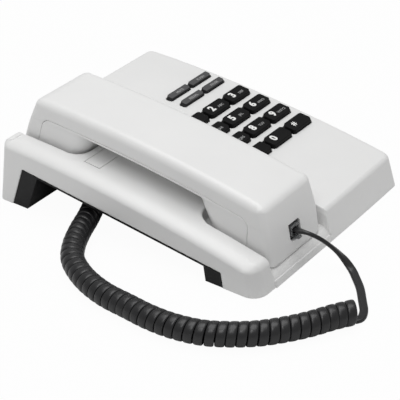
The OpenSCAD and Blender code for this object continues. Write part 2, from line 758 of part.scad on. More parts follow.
// Four-way plug: the rear of its body is at the origin, its nose points to +Y, its latch is down
module plug_shell() {
    mouth_w = cord_w + 0.4;
    difference() {
        translate([-plug_w / 2, 0, -plug_h / 2]) cube([plug_w, plug_l, plug_h]);
        translate([-mouth_w / 2, -1, -mouth_w / 2]) cube([mouth_w, cable_in + 1, mouth_w]);
    }
    translate([-latch_w / 2, 0, 0]) rotate([90, 0, 90]) linear_extrude(latch_w) polygon([
        [plug_l - 1, -plug_h / 2 + 0.1], [plug_l - 2.4, -plug_h / 2 + 0.1],
        [-latch_out, -plug_h / 2 - 1.1], [-latch_out, -plug_h / 2 - 2.1],
        [plug_l - 3, -plug_h / 2 - latch_t]]);
}
plug_out = 4.4;
// Depth of the cord's opening in a plug
cable_in = 4;
module base_jack() {
    color([0.1, 0.1, 0.1]) translate([base_jack_x, base_jack_y, base_jack_z]) jack_shell(jack_l);
}
module base_plug() {
    color([0.8, 0.82, 0.85, 0.5]) translate([base_jack_x, base_jack_y - plug_out, base_jack_z])
        plug_shell();
}
module line_jack() {
    color([0.1, 0.1, 0.1]) translate([line_jack_x, line_jack_y, line_jack_z]) rotate([0, 0, 180])
        jack_shell(line_jack_l, line_in_w);
    foot_z = skirt_gap + floor_t + 0.05;
    color([0.1, 0.1, 0.1]) translate([line_jack_x - line_jack_w / 2, line_jack_y - 9, foot_z])
        cube([line_jack_w, 6.5, line_jack_z - jack_h / 2 - latch_room + 0.1 - foot_z]);
}
line_jack_y = base_d / 2 - wall - rear_draft * line_jack_z / panel_rear_z - 1.5;

// ---- Keys ----
module key_body(d, h, cut) {
    top = h - 0.3;
    translate([0, 0, -key_under]) linear_extrude(key_under + top) cut_rect(key_l, d, cut);
    translate([0, 0, top - EPS]) linear_extrude(0.3 + EPS) cut_rect(key_l - 0.4, d - 0.4, cut - 0.1);
    translate([0, 0, -wall - 0.3 - flange_t]) linear_extrude(flange_t)
        cut_rect(key_l, d + 2 * key_flange, cut);
}
module digit_key(col, row) {
    color([0.08, 0.08, 0.08]) on_panel() translate([key_x(col), row_y(row), -sag(row_y(row))])
        key_body(key_d, key_h, key_cut);
}
module fn_key(col, row) {
    color([0.3, 0.3, 0.3]) on_panel() translate([key_x(col), fn_y(row), -sag(fn_y(row))])
        key_body(fn_d, fn_h, fn_cut);
}

// ---- Handset ----
hs_x0 = bay_x - handset_w / 2;
hs_x1 = bay_x + handset_w / 2;

// Side view of the handset between its two slightly bulged end faces, moved in by t
module ends_outline(t) {
    over = 20;
    tall = handset_top + cup_drop;
    lean_f = (foot_front_y - back_front_y) / tall;
    lean_r = (foot_rear_y - back_rear_y) / tall;
    mid = 0.4 * tall;
    mid_f = foot_front_y - lean_f * mid - end_bulge;
    mid_r = foot_rear_y - lean_r * mid + end_bulge;
    polygon([
        [foot_front_y + t, az(foot_front_y, -cup_drop - over)],
        [foot_rear_y - t, az(foot_rear_y, -cup_drop - over)],
        [foot_rear_y - t, az(foot_rear_y, -cup_drop)],
        [mid_r - t, az(mid_r, mid - cup_drop)],
        [back_rear_y - t, az(back_rear_y, handset_top)],
        [back_rear_y - t - lean_r * over, az(back_rear_y, handset_top + over)],
        [back_front_y + t - lean_f * over, az(back_front_y, handset_top + over)],
        [back_front_y + t, az(back_front_y, handset_top)],
        [mid_f + t, az(mid_f, mid - cup_drop)],
        [foot_front_y + t, az(foot_front_y, -cup_drop)]]);
}

// The grip and both end caps, without the cups
module grip_form(t) {
    r = max(back_r - t, 0.5);
    w = handset_w - 2 * t;
    intersection() {
        along_x(hs_x0, hs_x1) ends_outline(t);
        along_arc() translate([panel_arc_r, bay_x]) {
            translate([grip_under + t, -w / 2]) square([handset_top - grip_under - 2 * t - r, w]);
            translate([grip_under + t, -w / 2 + r]) square([handset_top - grip_under - 2 * t, w - 2 * r]);
            for (s = [-1, 1]) translate([handset_top - t - r, s * (w / 2 - r)]) circle(r = r);
        }
    }
}

// One cup, from its foot up into the grip. Its inner end leans out over the bridge, and its plan
// is a little wider than the handset, whose sides cut it.
cup_over = 30;
cup_spare = 0.3;
module cup_form(y, dir, lean, r, t) {
    intersection() {
        along_x(hs_x0 + t, hs_x1 - t) ends_outline(t);
        translate([0, y, az(y, -cup_drop)]) rotate([dir * lean, 0, 0])
            translate([0, dir * t, -cup_over]) linear_extrude(3 * cup_over) mirror([0, dir > 0 ? 0 : 1])
                end_plan(hs_x0 + t - cup_spare, hs_x1 - t + cup_spare, r - t);
        arc_slab(-cup_drop + t, grip_under + t + 1, hs_x0 - 1, hs_x1 + 1);
    }
}
module handset_form(t) {
    grip_form(t);
    cup_form(ear_cup_y, 1, ear_lean, ear_r, t);
    cup_form(mouth_cup_y, -1, mouth_lean, mouth_r, t);
}

// Side view of the region that belongs to the lower shell
module lower_region(grow) {
    f = foot_front_y + end_cap - grow;
    r = foot_rear_y - end_cap + grow;
    seam = grip_under + seam_h + grow;
    rise = 6;
    polygon(concat([[f, az(f, -cup_drop - 20)], [f, az(f, 0)]],
        arc_pts(seam, f + rise, r - rise - 4),
        [[r - 3, az(r, 0)], [r, az(r, -cup_drop)], [r, az(r, -cup_drop - 20)]]));
}

socket_z = az(foot_front_y, 0) + socket_up;
// Opening in the front end, past the plug's latch
socket_side = 1.2;
socket_above = 1.6;
socket_below = 0.9;
socket_w = jack_in_w + 2 * socket_side;
socket_h = jack_in_h + latch_room + socket_above + socket_below;
socket_y = foot_front_y + shell_t + 3.2;
hs_boss_r = 2.6;
hs_boss_foot = 4;
module handset_upper_shell() {
    color([0.92, 0.92, 0.92]) difference() {
        union() {
            difference() {
                handset_form(0);
                handset_form(shell_t);
                along_x(hs_x0 - 1, hs_x1 + 1) lower_region(0);
            }
            intersection() {
                handset_form(EPS);
                for (y = hs_screw_y) translate([bay_x, y, hs_boss_z(y)]) cylinder(r = hs_boss_r, h = 60);
            }
        }
        for (y = hs_screw_y) translate([bay_x, y, 0])
            cylinder(r = hs_screw_r + 0.05, h = hs_boss_z(y) + hs_screw_l);
        translate([bay_x - socket_w / 2, foot_front_y - 6, socket_z - jack_in_h / 2 - latch_room - socket_below])
            cube([socket_w, 6 + shell_t + 3, socket_h]);
    }
}
hs_screw_in = 5;
hs_screw_y = [mouth_cup_y - hs_screw_in, ear_cup_y + hs_screw_in];
hs_screw_r = 1.3;
hs_screw_l = 10;
function hs_boss_z(y) = az(y, -cup_drop + shell_t) + hs_boss_foot;
module sound_holes(y, count) {
    hole_r = 1;
    ring_r = 7;
    translate([bay_x, y, 0]) {
        for (i = [0:count - 1]) rotate([0, 0, 360 * i / count]) translate([ring_r, 0, 0])
            cylinder(r = hole_r, h = 60, $fn = 24);
        cylinder(r = hole_r, h = 60, $fn = 24);
    }
}
module handset_lower_shell() {
    color([0.88, 0.88, 0.88]) difference() {
        intersection() {
            difference() {
                handset_form(0);
                handset_form(shell_t);
            }
            along_x(hs_x0 - 1, hs_x1 + 1) lower_region(-0.1);
        }
        sound_holes(ear_y, 8);
        sound_holes(mouth_y, 3);
        for (y = hs_screw_y) translate([bay_x, y, 0]) {
            cylinder(r = hs_screw_r + 0.2, h = 60);
            cylinder(r = hs_head_r + 0.2, h = hs_head_z(y) + hs_head_h + 0.05);
        }
    }
}

capsule_gap = 0.6;
capsule_r = 13;
mic_r = 4.9;
mic_h = 5;
boot_t = 1.5;
// Middles of the receiver and of the microphone
ear_y = ear_cup_y + hs_screw_in + hs_boss_r + capsule_r + capsule_gap;
mouth_y = mouth_cup_y - hs_screw_in - hs_boss_r - mic_r - boot_t - capsule_gap;
// Frame on the inside of a cup's floor at y
module in_cup(y) {
    translate([bay_x, y, az(y, -cup_drop + shell_t / cos(tilt(y)) + 0.05)])
        rotate([tilt(y), 0, 0]) children();
}
capsule_h = 9;
gasket_t = 1.5;
module receiver_gasket() {
    color([0.15, 0.15, 0.15]) in_cup(ear_y) translate([0, 0, 0.1]) difference() {
        cylinder(r = capsule_r, h = gasket_t);
        translate([0, 0, -1]) cylinder(r = capsule_r - 3, h = gasket_t + 2);
    }
}
module receiver() {
    color([0.6, 0.6, 0.62]) in_cup(ear_y) translate([0, 0, 0.1 + gasket_t + 0.02]) {
        cylinder(r = capsule_r, h = capsule_h - 2);
        translate([0, 0, capsule_h - 2]) cylinder(r = capsule_r - 4, h = 2);
    }
}
module microphone_boot() {
    color([0.15, 0.15, 0.15]) in_cup(mouth_y) translate([0, 0, 0.1]) difference() {
        cylinder(r = mic_r + boot_t, h = mic_h + boot_t);
        translate([0, 0, boot_t]) cylinder(r = mic_r + 0.05, h = mic_h + 1);
        translate([0, 0, -1]) cylinder(r = 1.5, h = boot_t + 2);
    }
}
module microphone() {
    color([0.75, 0.75, 0.77]) in_cup(mouth_y) translate([0, 0, 0.15 + boot_t])
        cylinder(r = mic_r, h = mic_h);
}
weight_l = 40;
weight_w = 20;
module handset_weight() {
    y = (mouth_y + ear_y) / 2;
    z = az(y, grip_under + shell_t) + 0.2;
    color([0.4, 0.4, 0.42]) translate([bay_x, y, z]) rotate([tilt(y), 0, 0])
        translate([-weight_w / 2, -weight_l / 2, 0]) cube([weight_w, weight_l, 6]);
}
hs_head_r = 2.3;
hs_head_h = 0.9;
module handset_screws() {
    color([0.7, 0.7, 0.72]) for (y = hs_screw_y) translate([bay_x, y, hs_head_z(y)])
        screw_up(hs_screw_r, hs_head_r, hs_head_h, shell_t + hs_boss_foot + hs_screw_l - 1);
}
function hs_head_z(y) = az(y + hs_head_r, -cup_drop) + 0.1;
module handset_jack() {
    color([0.1, 0.1, 0.1]) {
        translate([bay_x, socket_y, socket_z]) jack_shell(jack_l);
        translate([bay_x - 2, socket_y + 1, jack_foot_z])
            cube([4, 6, socket_z - jack_h / 2 - latch_room - jack_foot_z + 0.1]);
    }
}
jack_foot_z = az(socket_y + jack_l, -cup_drop + shell_t) + 0.4;
module handset_plug() {
    color([0.8, 0.82, 0.85, 0.5]) translate([bay_x, socket_y - plug_out, socket_z])
        plug_shell();
}
// Twin wires from the jack along the grip to the receiver
wire_r = 0.7;
wire_off = grip_under + shell_t + wire_r + 0.3;
module handset_wires() {
    x = bay_x + weight_w / 2 + 4;
    y0 = socket_y + jack_l + 8;
    y1 = ear_y - capsule_r - 3;
    color([0.75, 0.1, 0.1]) for (dx = [0, 2 * wire_r + 0.1]) intersection() {
        along_arc() translate([panel_arc_r + wire_off, x + dx]) circle(r = wire_r, $fn = 16);
        along_x(x - 5, x + 9) translate([y0, 0]) square([y1 - y0, 2 * panel_rear_z]);
    }
}

// ---- Cord ----

// Start of the cord's route from the handset's plug, measured from the socket's mouth
PLUG_LEAD = [[0, -0.6, 0], [0, -4.2, 0], [0, -8.2, 0.2], [1, -13.2, -0.2], [4, -19.2, -3.6]];
// Rest of the route, down to the coil
FRONT_ROUTE = concat([for (p = PLUG_LEAD) [bay_x, socket_y, socket_z] + p],
    [[-23, -115, 12.6], [-21, -120, 7], [-22, -126, 3.4], [-27, -132, 2.6], [-34, -139, 2.6],
    [-43, -146, 2.6], [-50, -151.3, 2.6], [-54.5, -153.8, 3], [-57, -154, 3.8], [-59, -152.7, 4.6]]);
// Middle line of the curly coil on the desk
COIL_ROUTE = [[-60, -152, 7], [-70, -145, 7], [-82, -138, 7], [-93, -130, 7], [-104, -120, 7],
    [-113, -108, 7], [-120, -95, 7], [-124, -79, 7], [-125, -63, 7], [-124, -47, 7], [-123, -32, 7],
    [-120, -18, 7], [-115, -5, 7], [-107, 8, 7], [-96, 17, 7], [-83, 24, 7], [-69, 30, 7],
    [-57, 36, 7], [-48, 42, 7], [-42, 49, 7]];
// Route of the cord from the coil to the base's plug
REAR_ROUTE = concat([[-41.6, 49.4, 7], [-39, 54, 7.4], [-37, 60, 8.4]],
    [for (p = [[-8.5, -0.2], [-4.6, 0], [-0.6, 0]]) [base_jack_x, base_jack_y + p[0], base_jack_z + p[1]]]);

function unit(v) = v / norm(v);
// Point at fraction t of the smooth curve between points i and i + 1 of a route
function curve_at(p, i, t) = let (n = len(p) - 1,
    a = p[max(i - 1, 0)], b = p[i], c = p[min(i + 1, n)], d = p[min(i + 2, n)])
    0.5 * (2 * b + (c - a) * t + (2 * a - 5 * b + 4 * c - d) * t * t
        + (3 * b - a - 3 * c + d) * t * t * t);
function smooth_route(p, k) = concat(
    [for (i = [0:len(p) - 2]) for (j = [0:k - 1]) curve_at(p, i, j / k)], [p[len(p) - 1]]);
function along_at(q, i) = unit(q[min(i + 1, len(q) - 1)] - q[max(i - 1, 0)]);
function ring(q, i, r, sides) = let (f = along_at(q, i), s = unit(cross(f, [0, 0, 1])), u = cross(s, f))
    [for (a = [0:sides - 1]) q[i] + r * (cos(360 * a / sides) * s + sin(360 * a / sides) * u)];
// A round tube along a route
module tube(route, k, r, sides) {
    q = smooth_route(route, k);
    n = len(q);
    pts = [for (i = [0:n - 1]) each ring(q, i, r, sides)];
    walls = [for (i = [0:n - 2]) for (a = [0:sides - 1]) let (b = (a + 1) % sides)
        [i * sides + a, i * sides + b, (i + 1) * sides + b, (i + 1) * sides + a]];
    caps = [[for (a = [sides - 1:-1:0]) a], [for (a = [0:sides - 1]) (n - 1) * sides + a]];
    polyhedron(pts, concat(walls, caps), convexity = 10);
}
module cord_front_tail() {
    color([0.06, 0.06, 0.06]) tube(FRONT_ROUTE, 1, cord_w / 2, 8);
}
module cord_coil() {
    color([0.06, 0.06, 0.06]) tube(COIL_ROUTE, 1, coil_od / 2, 12);
}
module cord_rear_tail() {
    color([0.06, 0.06, 0.06]) tube(REAR_ROUTE, 1, cord_w / 2, 8);
}

upper_housing();
lower_housing();
rubber_feet();
housing_screws();
main_board();
board_components();
keypad_board();
keypad_mat();
keypad_ribbon();
keypad_screws();
buzzer();
hook_switch();
hook_lever();
hook_spring();
base_jack();
line_jack();
base_plug();
digit_key(0, 0);  // key_1
digit_key(1, 0);  // key_2
digit_key(2, 0);  // key_3
digit_key(0, 1);  // key_4
digit_key(1, 1);  // key_5
digit_key(2, 1);  // key_6
digit_key(0, 2);  // key_7
digit_key(1, 2);  // key_8
digit_key(2, 2);  // key_9
digit_key(0, 3);  // key_star
digit_key(1, 3);  // key_0
digit_key(2, 3);  // key_hash
fn_key(1, 0);  // key_mute
fn_key(2, 0);  // key_flash
fn_key(1, 1);  // key_redial
fn_key(2, 1);  // key_pause
handset_upper_shell();
handset_lower_shell();
receiver();
receiver_gasket();
microphone();
microphone_boot();
handset_weight();
handset_jack();
handset_wires();
handset_screws();
handset_plug();
cord_front_tail();
cord_coil();
cord_rear_tail();
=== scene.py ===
"""Looks of the corded desk telephone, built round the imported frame.

Lengths in the shape code are millimetres in the row frame: +X the user's right, +Y the rear, +Z up.
A mesh is turned to metres as it is made.
"""

import bpy
import numpy as np
from mathutils import Matrix


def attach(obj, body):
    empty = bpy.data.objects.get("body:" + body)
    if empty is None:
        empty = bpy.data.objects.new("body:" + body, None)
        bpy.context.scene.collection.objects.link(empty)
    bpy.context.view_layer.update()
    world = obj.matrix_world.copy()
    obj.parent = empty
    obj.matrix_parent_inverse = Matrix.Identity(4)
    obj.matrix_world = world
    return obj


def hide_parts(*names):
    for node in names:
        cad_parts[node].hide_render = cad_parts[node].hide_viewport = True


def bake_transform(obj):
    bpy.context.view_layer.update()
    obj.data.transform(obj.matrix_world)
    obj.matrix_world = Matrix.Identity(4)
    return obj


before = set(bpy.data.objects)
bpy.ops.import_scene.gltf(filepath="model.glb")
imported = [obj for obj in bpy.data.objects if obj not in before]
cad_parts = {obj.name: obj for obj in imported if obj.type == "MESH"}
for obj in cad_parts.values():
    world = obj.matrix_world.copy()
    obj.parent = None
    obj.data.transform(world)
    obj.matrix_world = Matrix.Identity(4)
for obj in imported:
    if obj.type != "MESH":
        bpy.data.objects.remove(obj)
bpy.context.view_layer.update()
MM = 0.001

# ---- Camera ----

CAMERA_AT = (-559.405, -456.49, 443.467)
CAMERA_RIGHT = (0.60791, -0.79264, -0.04664)
CAMERA_UP = (0.44416, 0.29078, 0.84745)
CAMERA_BACK = (-0.65816, -0.53588, 0.52882)
FOCAL_PX = 1358.903
PICTURE_PX = 400
SENSOR = 36.0


def make_camera():
    """Places the camera by its right, up and back directions.

    Its lens is the focal length in pixels, times the sensor's width, over the picture's width in pixels.
    """
    data = bpy.data.cameras.new("camera")
    data.sensor_fit = "HORIZONTAL"
    data.sensor_width = SENSOR
    data.lens = FOCAL_PX / PICTURE_PX * SENSOR
    data.clip_start, data.clip_end = 0.01, 20
    camera = bpy.data.objects.new("camera", data)
    bpy.context.scene.collection.objects.link(camera)
    matrix = np.eye(4)
    matrix[:3, 0], matrix[:3, 1], matrix[:3, 2] = CAMERA_RIGHT, CAMERA_UP, CAMERA_BACK
    matrix[:3, 3] = np.array(CAMERA_AT) * MM
    camera.matrix_world = Matrix(matrix.tolist())
    bpy.context.scene.camera = camera


make_camera()

# ---- Materials ----


class Nodes:
    """A small helper that builds one procedural material round a Principled shader."""

    def __init__(self, name, color, roughness, **values):
        """Starts a material. In the name of a shader value, an underscore stands for a space."""
        self.material = bpy.data.materials.new(name)
        self.material.use_nodes = True
        self.tree = self.material.node_tree
        self.shader = self.tree.nodes["Principled BSDF"]
        self.shader.inputs["Base Color"].default_value = (*color, 1)
        self.shader.inputs["Roughness"].default_value = roughness
        for key, value in values.items():
            self.shader.inputs[key.replace("_", " ")].default_value = value
        self.place = self.add("ShaderNodeTexCoord").outputs["Object"]

    def add(self, kind, **props):
        """A new node of this kind with these properties."""
        node = self.tree.nodes.new(kind)
        for key, value in props.items():
            setattr(node, key, value)
        return node

    def link(self, a, b):
        """Joins an output to an input."""
        self.tree.links.new(a, b)

    def noise(self, scale, detail=3.0, stretch=None):
        """Noise in object space, at scale bumps a metre; stretch scales its three axes."""
        node = self.add("ShaderNodeTexNoise")
        node.inputs["Scale"].default_value = scale
        node.inputs["Detail"].default_value = detail
        source = self.place
        if stretch:
            mapping = self.add("ShaderNodeMapping")
            mapping.inputs["Scale"].default_value = stretch
            self.link(source, mapping.inputs["Vector"])
            source = mapping.outputs["Vector"]
        self.link(source, node.inputs["Vector"])
        return node.outputs["Fac"]

    def spread(self, source, low, high, lo_in=0.3, hi_in=0.7):
        """Maps a value from its middle range to the range low to high."""
        node = self.add("ShaderNodeMapRange")
        for key, value in (("From Min", lo_in), ("From Max", hi_in), ("To Min", low), ("To Max", high)):
            node.inputs[key].default_value = value
        self.link(source, node.inputs["Value"])
        return node.outputs["Result"]

    def tint(self, source, dark, light):
        """Colours between two shades by a value."""
        node = self.add("ShaderNodeMix", data_type="RGBA")
        node.inputs[6].default_value = (*dark, 1)
        node.inputs[7].default_value = (*light, 1)
        self.link(source, node.inputs[0])
        self.link(node.outputs[2], self.shader.inputs["Base Color"])

    def bump(self, source, height, strength):
        """Bump of that height in metres."""
        node = self.add("ShaderNodeBump")
        node.inputs["Strength"].default_value = strength
        node.inputs["Distance"].default_value = height
        self.link(source, node.inputs["Height"])
        self.link(node.outputs["Normal"], self.shader.inputs["Normal"])


def plastic(name, color, roughness, grain=2600, height=0.00002, vary=0.015, **values):
    """Moulded plastic: a fine spark-eroded grain, faint flow marks in colour and in gloss."""
    m = Nodes(name, color, roughness, **values)
    flow = m.spread(m.noise(24, 4), 0, 1)
    m.tint(flow, [c * (1 - vary) for c in color], [min(c * (1 + vary), 1) for c in color])
    m.link(m.spread(m.noise(160, 3), roughness - 0.04, roughness + 0.04), m.shader.inputs["Roughness"])
    m.bump(m.noise(grain, 2), height, 0.35)
    return m.material


def metal(name, color, roughness, stretch=(1, 1, 12)):
    """Plated metal with fine drawn lines."""
    m = Nodes(name, color, roughness, Metallic=1.0)
    lines = m.noise(900, 4, stretch)
    m.link(m.spread(lines, roughness - 0.08, roughness + 0.12), m.shader.inputs["Roughness"])
    m.tint(m.spread(lines, 0, 1), [c * 0.85 for c in color], color)
    m.bump(lines, 0.00001, 0.3)
    return m.material


def board(name, color):
    """Laminate with a woven glass grain and thin copper tracks under the varnish."""
    m = Nodes(name, color, 0.42, Specular_IOR_Level=0.5)
    wave = m.add("ShaderNodeTexWave", wave_type="BANDS", bands_direction="X")
    wave.inputs["Scale"].default_value = 260
    wave.inputs["Distortion"].default_value = 6
    m.link(m.place, wave.inputs["Vector"])
    m.tint(m.spread(wave.outputs["Fac"], 0, 1, 0.62, 0.7), color, [min(c * 1.6 + 0.03, 1) for c in color])
    m.bump(wave.outputs["Fac"], 0.00003, 0.4)
    return m.material


def clear(name, color):
    """Clear plastic with a faint tint and small ripples."""
    m = Nodes(name, color, 0.12, Transmission_Weight=0.75, IOR=1.49)
    m.bump(m.noise(700, 2), 0.00004, 0.5)
    m.link(m.spread(m.noise(220, 2), 0.08, 0.2), m.shader.inputs["Roughness"])
    return m.material


WHITE = (0.80, 0.80, 0.795)
white_shell = plastic("white_shell", WHITE, 0.36, Specular_IOR_Level=0.45)
white_handset = plastic("white_handset", (0.815, 0.815, 0.81), 0.34, Specular_IOR_Level=0.45)
black_shell = plastic("black_shell", (0.008, 0.008, 0.0085), 0.5, height=0.00004, Specular_IOR_Level=0.25)
black_key = plastic("black_key", (0.005, 0.005, 0.0052), 0.5, 1800, 0.00004, 0.1, Specular_IOR_Level=0.11)
# The keys' walls take a darker copy of the key plastic: painted shade from the neighbouring keys and the
# holes' edges
key_wall_painted_shade = plastic("key_wall_painted_shade", (0.003, 0.003, 0.0031), 0.55, 1800, 0.00004, 0.1, Specular_IOR_Level=0.12)
grey_key = plastic("grey_key", (0.085, 0.085, 0.087), 0.6, 900, 0.0001, 0.12, Specular_IOR_Level=0.2)
# Painted shade: the function keys' walls are darker than their tops, standing for the shade round them
grey_wall_painted_shade = plastic("grey_wall_painted_shade", (0.022, 0.022, 0.023), 0.6, 1800, 0.00004, 0.1, Specular_IOR_Level=0.15)
cord_skin = plastic("cord_skin", (0.013, 0.013, 0.014), 0.33, grain=700, height=0.00005, vary=0.12)
legend_white = plastic("legend_white", (0.84, 0.84, 0.83), 0.5, height=0.000005)
legend_grey = plastic("legend_grey", (0.30, 0.30, 0.30), 0.5, height=0.000005)
soft_rubber = plastic("soft_rubber", (0.02, 0.02, 0.02), 0.75, grain=900, height=0.00006)
mat_rubber = plastic("mat_rubber", (0.52, 0.52, 0.5), 0.7, grain=900, height=0.00004)
foam = plastic("foam", (0.02, 0.02, 0.02), 0.9, grain=1400, height=0.0003)
dark_part = plastic("dark_part", (0.02, 0.02, 0.022), 0.45)
jack_black = plastic("jack_black", (0.013, 0.013, 0.014), 0.42)
steel = metal("steel", (0.62, 0.62, 0.63), 0.32)
drawn_can = metal("drawn_can", (0.75, 0.75, 0.76), 0.28)
iron = metal("iron", (0.22, 0.22, 0.22), 0.6, (1, 1, 1))
base_laminate = board("base_laminate", (0.36, 0.26, 0.1))
key_laminate = board("key_laminate", (0.03, 0.12, 0.05))
wire_red = plastic("wire_red", (0.3, 0.02, 0.02), 0.45)
ribbon_grey = plastic("ribbon_grey", (0.5, 0.5, 0.47), 0.5)
plug_clear = clear("plug_clear", (0.42, 0.43, 0.44))

NODE_MATERIALS = {
    "lower_housing": black_shell,
    "rubber_feet": soft_rubber,
    "housing_screws": steel,
    "main_board": base_laminate,
    "board_components": dark_part,
    "keypad_board": key_laminate,
    "keypad_mat": mat_rubber,
    "keypad_ribbon": ribbon_grey,
    "keypad_screws": steel,
    "buzzer": dark_part,
    "hook_switch": dark_part,
    "hook_lever": white_shell,
    "hook_spring": steel,
    "base_jack": jack_black,
    "line_jack": jack_black,
    "base_plug": plug_clear,
    "receiver": dark_part,
    "receiver_gasket": foam,
    "microphone": drawn_can,
    "microphone_boot": soft_rubber,
    "handset_weight": iron,
    "handset_jack": jack_black,
    "handset_wires": wire_red,
    "handset_screws": steel,
    "handset_plug": plug_clear,
}
for node_name, node_material in NODE_MATERIALS.items():
    for material_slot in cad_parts[node_name].material_slots:
        material_slot.material = node_material

# ---- Mesh making ----

# Half the square root of two, and the least length that is divided by
HALF_ROOT, TINY = 0.7071, 1e-9


def make_piece(name, verts, faces, material, corner_normals=None, sharp=None):
    """Makes an object at the origin from points in millimetres and a list or array of faces."""
    mesh = bpy.data.meshes.new(name)
    mesh.from_pydata((np.asarray(verts) * MM).tolist(), [], [list(map(int, f)) for f in faces])
    mesh.materials.append(material)
    mesh.polygons.foreach_set("use_smooth", np.ones(len(mesh.polygons), bool))
    mesh.update()
    if corner_normals is not None:
        mesh.normals_split_custom_set(corner_normals.tolist())
    if sharp is not None:
        mesh.set_sharp_from_angle(angle=np.radians(sharp))
    piece = bpy.data.objects.new(name, mesh)
    bpy.context.scene.collection.objects.link(piece)
    return piece


def dress(piece, body, slot, *nodes):
    """Lets a piece ride a body and stand for CAD nodes, which it hides; the slot is not used."""
    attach(piece, body)
    if nodes:
        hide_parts(*nodes)
    return piece


def gradient(field, p, h=0.04):
    """Direction in which a field grows, from four samples at the corners of a small tetrahedron."""
    total = np.zeros_like(p)
    for corner in ((1, -1, -1), (-1, -1, 1), (-1, 1, -1), (1, 1, 1)):
        k = np.array(corner, float)
        q = p + h * k
        total += field(q[:, 0], q[:, 1], q[:, 2])[:, None] * k
    return total / np.maximum(np.linalg.norm(total, axis=1, keepdims=True), TINY)


# Shares of a cell: how far a vertex may leave its cell, and how far in a corner's normal is taken
CELL_SLACK, NORMAL_INSET = 0.2, 0.25
# Pull of each crossing on its vertex, which settles flat stretches
MIDDLE_PULL = 0.02
# Secant steps to each crossing, and the share of its bracket that a step keeps to
SECANT_STEPS, SECANT_CLIP = 3, (0.02, 0.98)
# Grid steps of the case top, its front lip, the plug and the handset
CASE_CELL, LIP_CELL, PLUG_CELL, HANDSET_CELL = 1.1, 0.4, 0.3, 0.9


def contour(field, low, high, cell):
    """Closed quad mesh of the surface where a field is zero, negative inside.

    The field is sampled on a cubic grid. Each grid edge whose ends differ in sign holds one crossing,
    found by a few secant steps. A grid cell that has crossings gets one vertex, at the point nearest to
    the tangent planes of its crossings in the least squares sense, so sharp edges stay sharp. Each
    crossed edge joins the vertices of the four cells round it in one quad. The corner normals are the
    field's gradient a little way in from each corner.
    """
    axes = [np.arange(lo - cell, hi + 2 * cell, cell) for lo, hi in zip(low, high)]
    x, y, z = np.meshgrid(*axes, indexing="ij")
    f = field(x, y, z)
    origin = np.array([a[0] for a in axes])
    shape = np.array(f.shape)
    cells = shape - 1
    inside = f < 0
    quads, points = [], []
    for axis in range(3):
        u, v = [a for a in range(3) if a != axis]
        if axis == 1:
            u, v = v, u
        near = [slice(1, -1)] * 3
        far = [slice(1, -1)] * 3
        near[axis], far[axis] = slice(0, -1), slice(1, None)
        a, b = f[tuple(near)], f[tuple(far)]
        crossed = (a < 0) != (b < 0)
        index = np.argwhere(crossed)
        index[:, [u, v]] += 1
        fa, fb = a[crossed], b[crossed]
        p = origin + cell * index
        lo, hi = np.zeros(len(p)), np.ones(len(p))
        t = fa / (fa - fb)
        for _ in range(SECANT_STEPS):
            q = p.copy()
            q[:, axis] += cell * t
            ft = field(q[:, 0], q[:, 1], q[:, 2])
            same = (ft < 0) == (fa < 0)
            lo, fa = np.where(same, t, lo), np.where(same, ft, fa)
            hi, fb = np.where(same, hi, t), np.where(same, fb, ft)
            t = lo + (hi - lo) * np.clip(fa / np.where(fa == fb, 1, fa - fb), *SECANT_CLIP)
        p[:, axis] += cell * t
        ring = []
        for du, dv in ((-1, -1), (0, -1), (0, 0), (-1, 0)):
            c = index.copy()
            c[:, u] += du
            c[:, v] += dv
            ring.append(np.ravel_multi_index(c.T, cells))
        ring = np.stack(ring, 1)
        leaving = inside[tuple(index.T)]
        quads.append(np.where(leaving[:, None], ring, ring[:, ::-1]))
        points.append(p)
    quads, points = np.concatenate(quads), np.concatenate(points)
    normals = gradient(field, points)
    used, flat = np.unique(quads, return_inverse=True)
    flat = flat.reshape(quads.shape)
    count = np.bincount(flat.ravel(), minlength=len(used)).astype(float)

    def gather(values):
        """Sum, for each used cell, of its crossings' values."""
        return np.bincount(flat.ravel(), np.repeat(values, 4), minlength=len(used))

    middle = np.stack([gather(points[:, i]) for i in range(3)], 1) / count[:, None]
    plane = (normals * points).sum(1)
    matrix = np.zeros((len(used), 3, 3))
    right = np.zeros((len(used), 3))
    for i in range(3):
        right[:, i] = gather(normals[:, i] * plane)
        for j in range(i, 3):
            matrix[:, i, j] = matrix[:, j, i] = gather(normals[:, i] * normals[:, j])
    right -= np.einsum("nij,nj->ni", matrix, middle)
    matrix += (MIDDLE_PULL * count)[:, None, None] * np.eye(3)
    verts = middle + np.linalg.solve(matrix, right[..., None])[..., 0]
    corner = origin + cell * np.stack(np.unravel_index(used, cells), 1)
    verts = np.clip(verts, corner - CELL_SLACK * cell, corner + (1 + CELL_SLACK) * cell)
    centre = verts[flat].mean(1, keepdims=True)
    inward = (verts[flat] + NORMAL_INSET * (centre - verts[flat])).reshape(-1, 3)
    return verts, flat, gradient(field, inward)


def cut_round(a, b, r):
    """Common part of two fields with its edge rounded to radius r."""
    inner = np.minimum(-r, np.maximum(a, b))
    return inner + np.hypot(np.maximum(a + r, 0), np.maximum(b + r, 0))


def join_round(a, b, r):
    """Union of two fields with its inner corner filled to radius r."""
    return -cut_round(-a, -b, r)


def ramp(v, lo, hi):
    """Smooth step from 0 at lo to 1 at hi."""
    t = np.clip((v - lo) / (hi - lo), 0, 1)
    return t * t * (3 - 2 * t)


def cut_oval(a, b, ra, rb):
    """Common part of two fields, its edge a quarter ellipse: ra along the first and rb along the second."""
    p, q = np.maximum(a + ra, 0) / ra, np.maximum(b + rb, 0) / rb
    g = np.hypot(p, q)
    slope = np.maximum(np.hypot(p / ra, q / rb), TINY)
    return np.where((p > 0) & (q > 0), (g - 1) * g / slope, np.maximum(a, b))


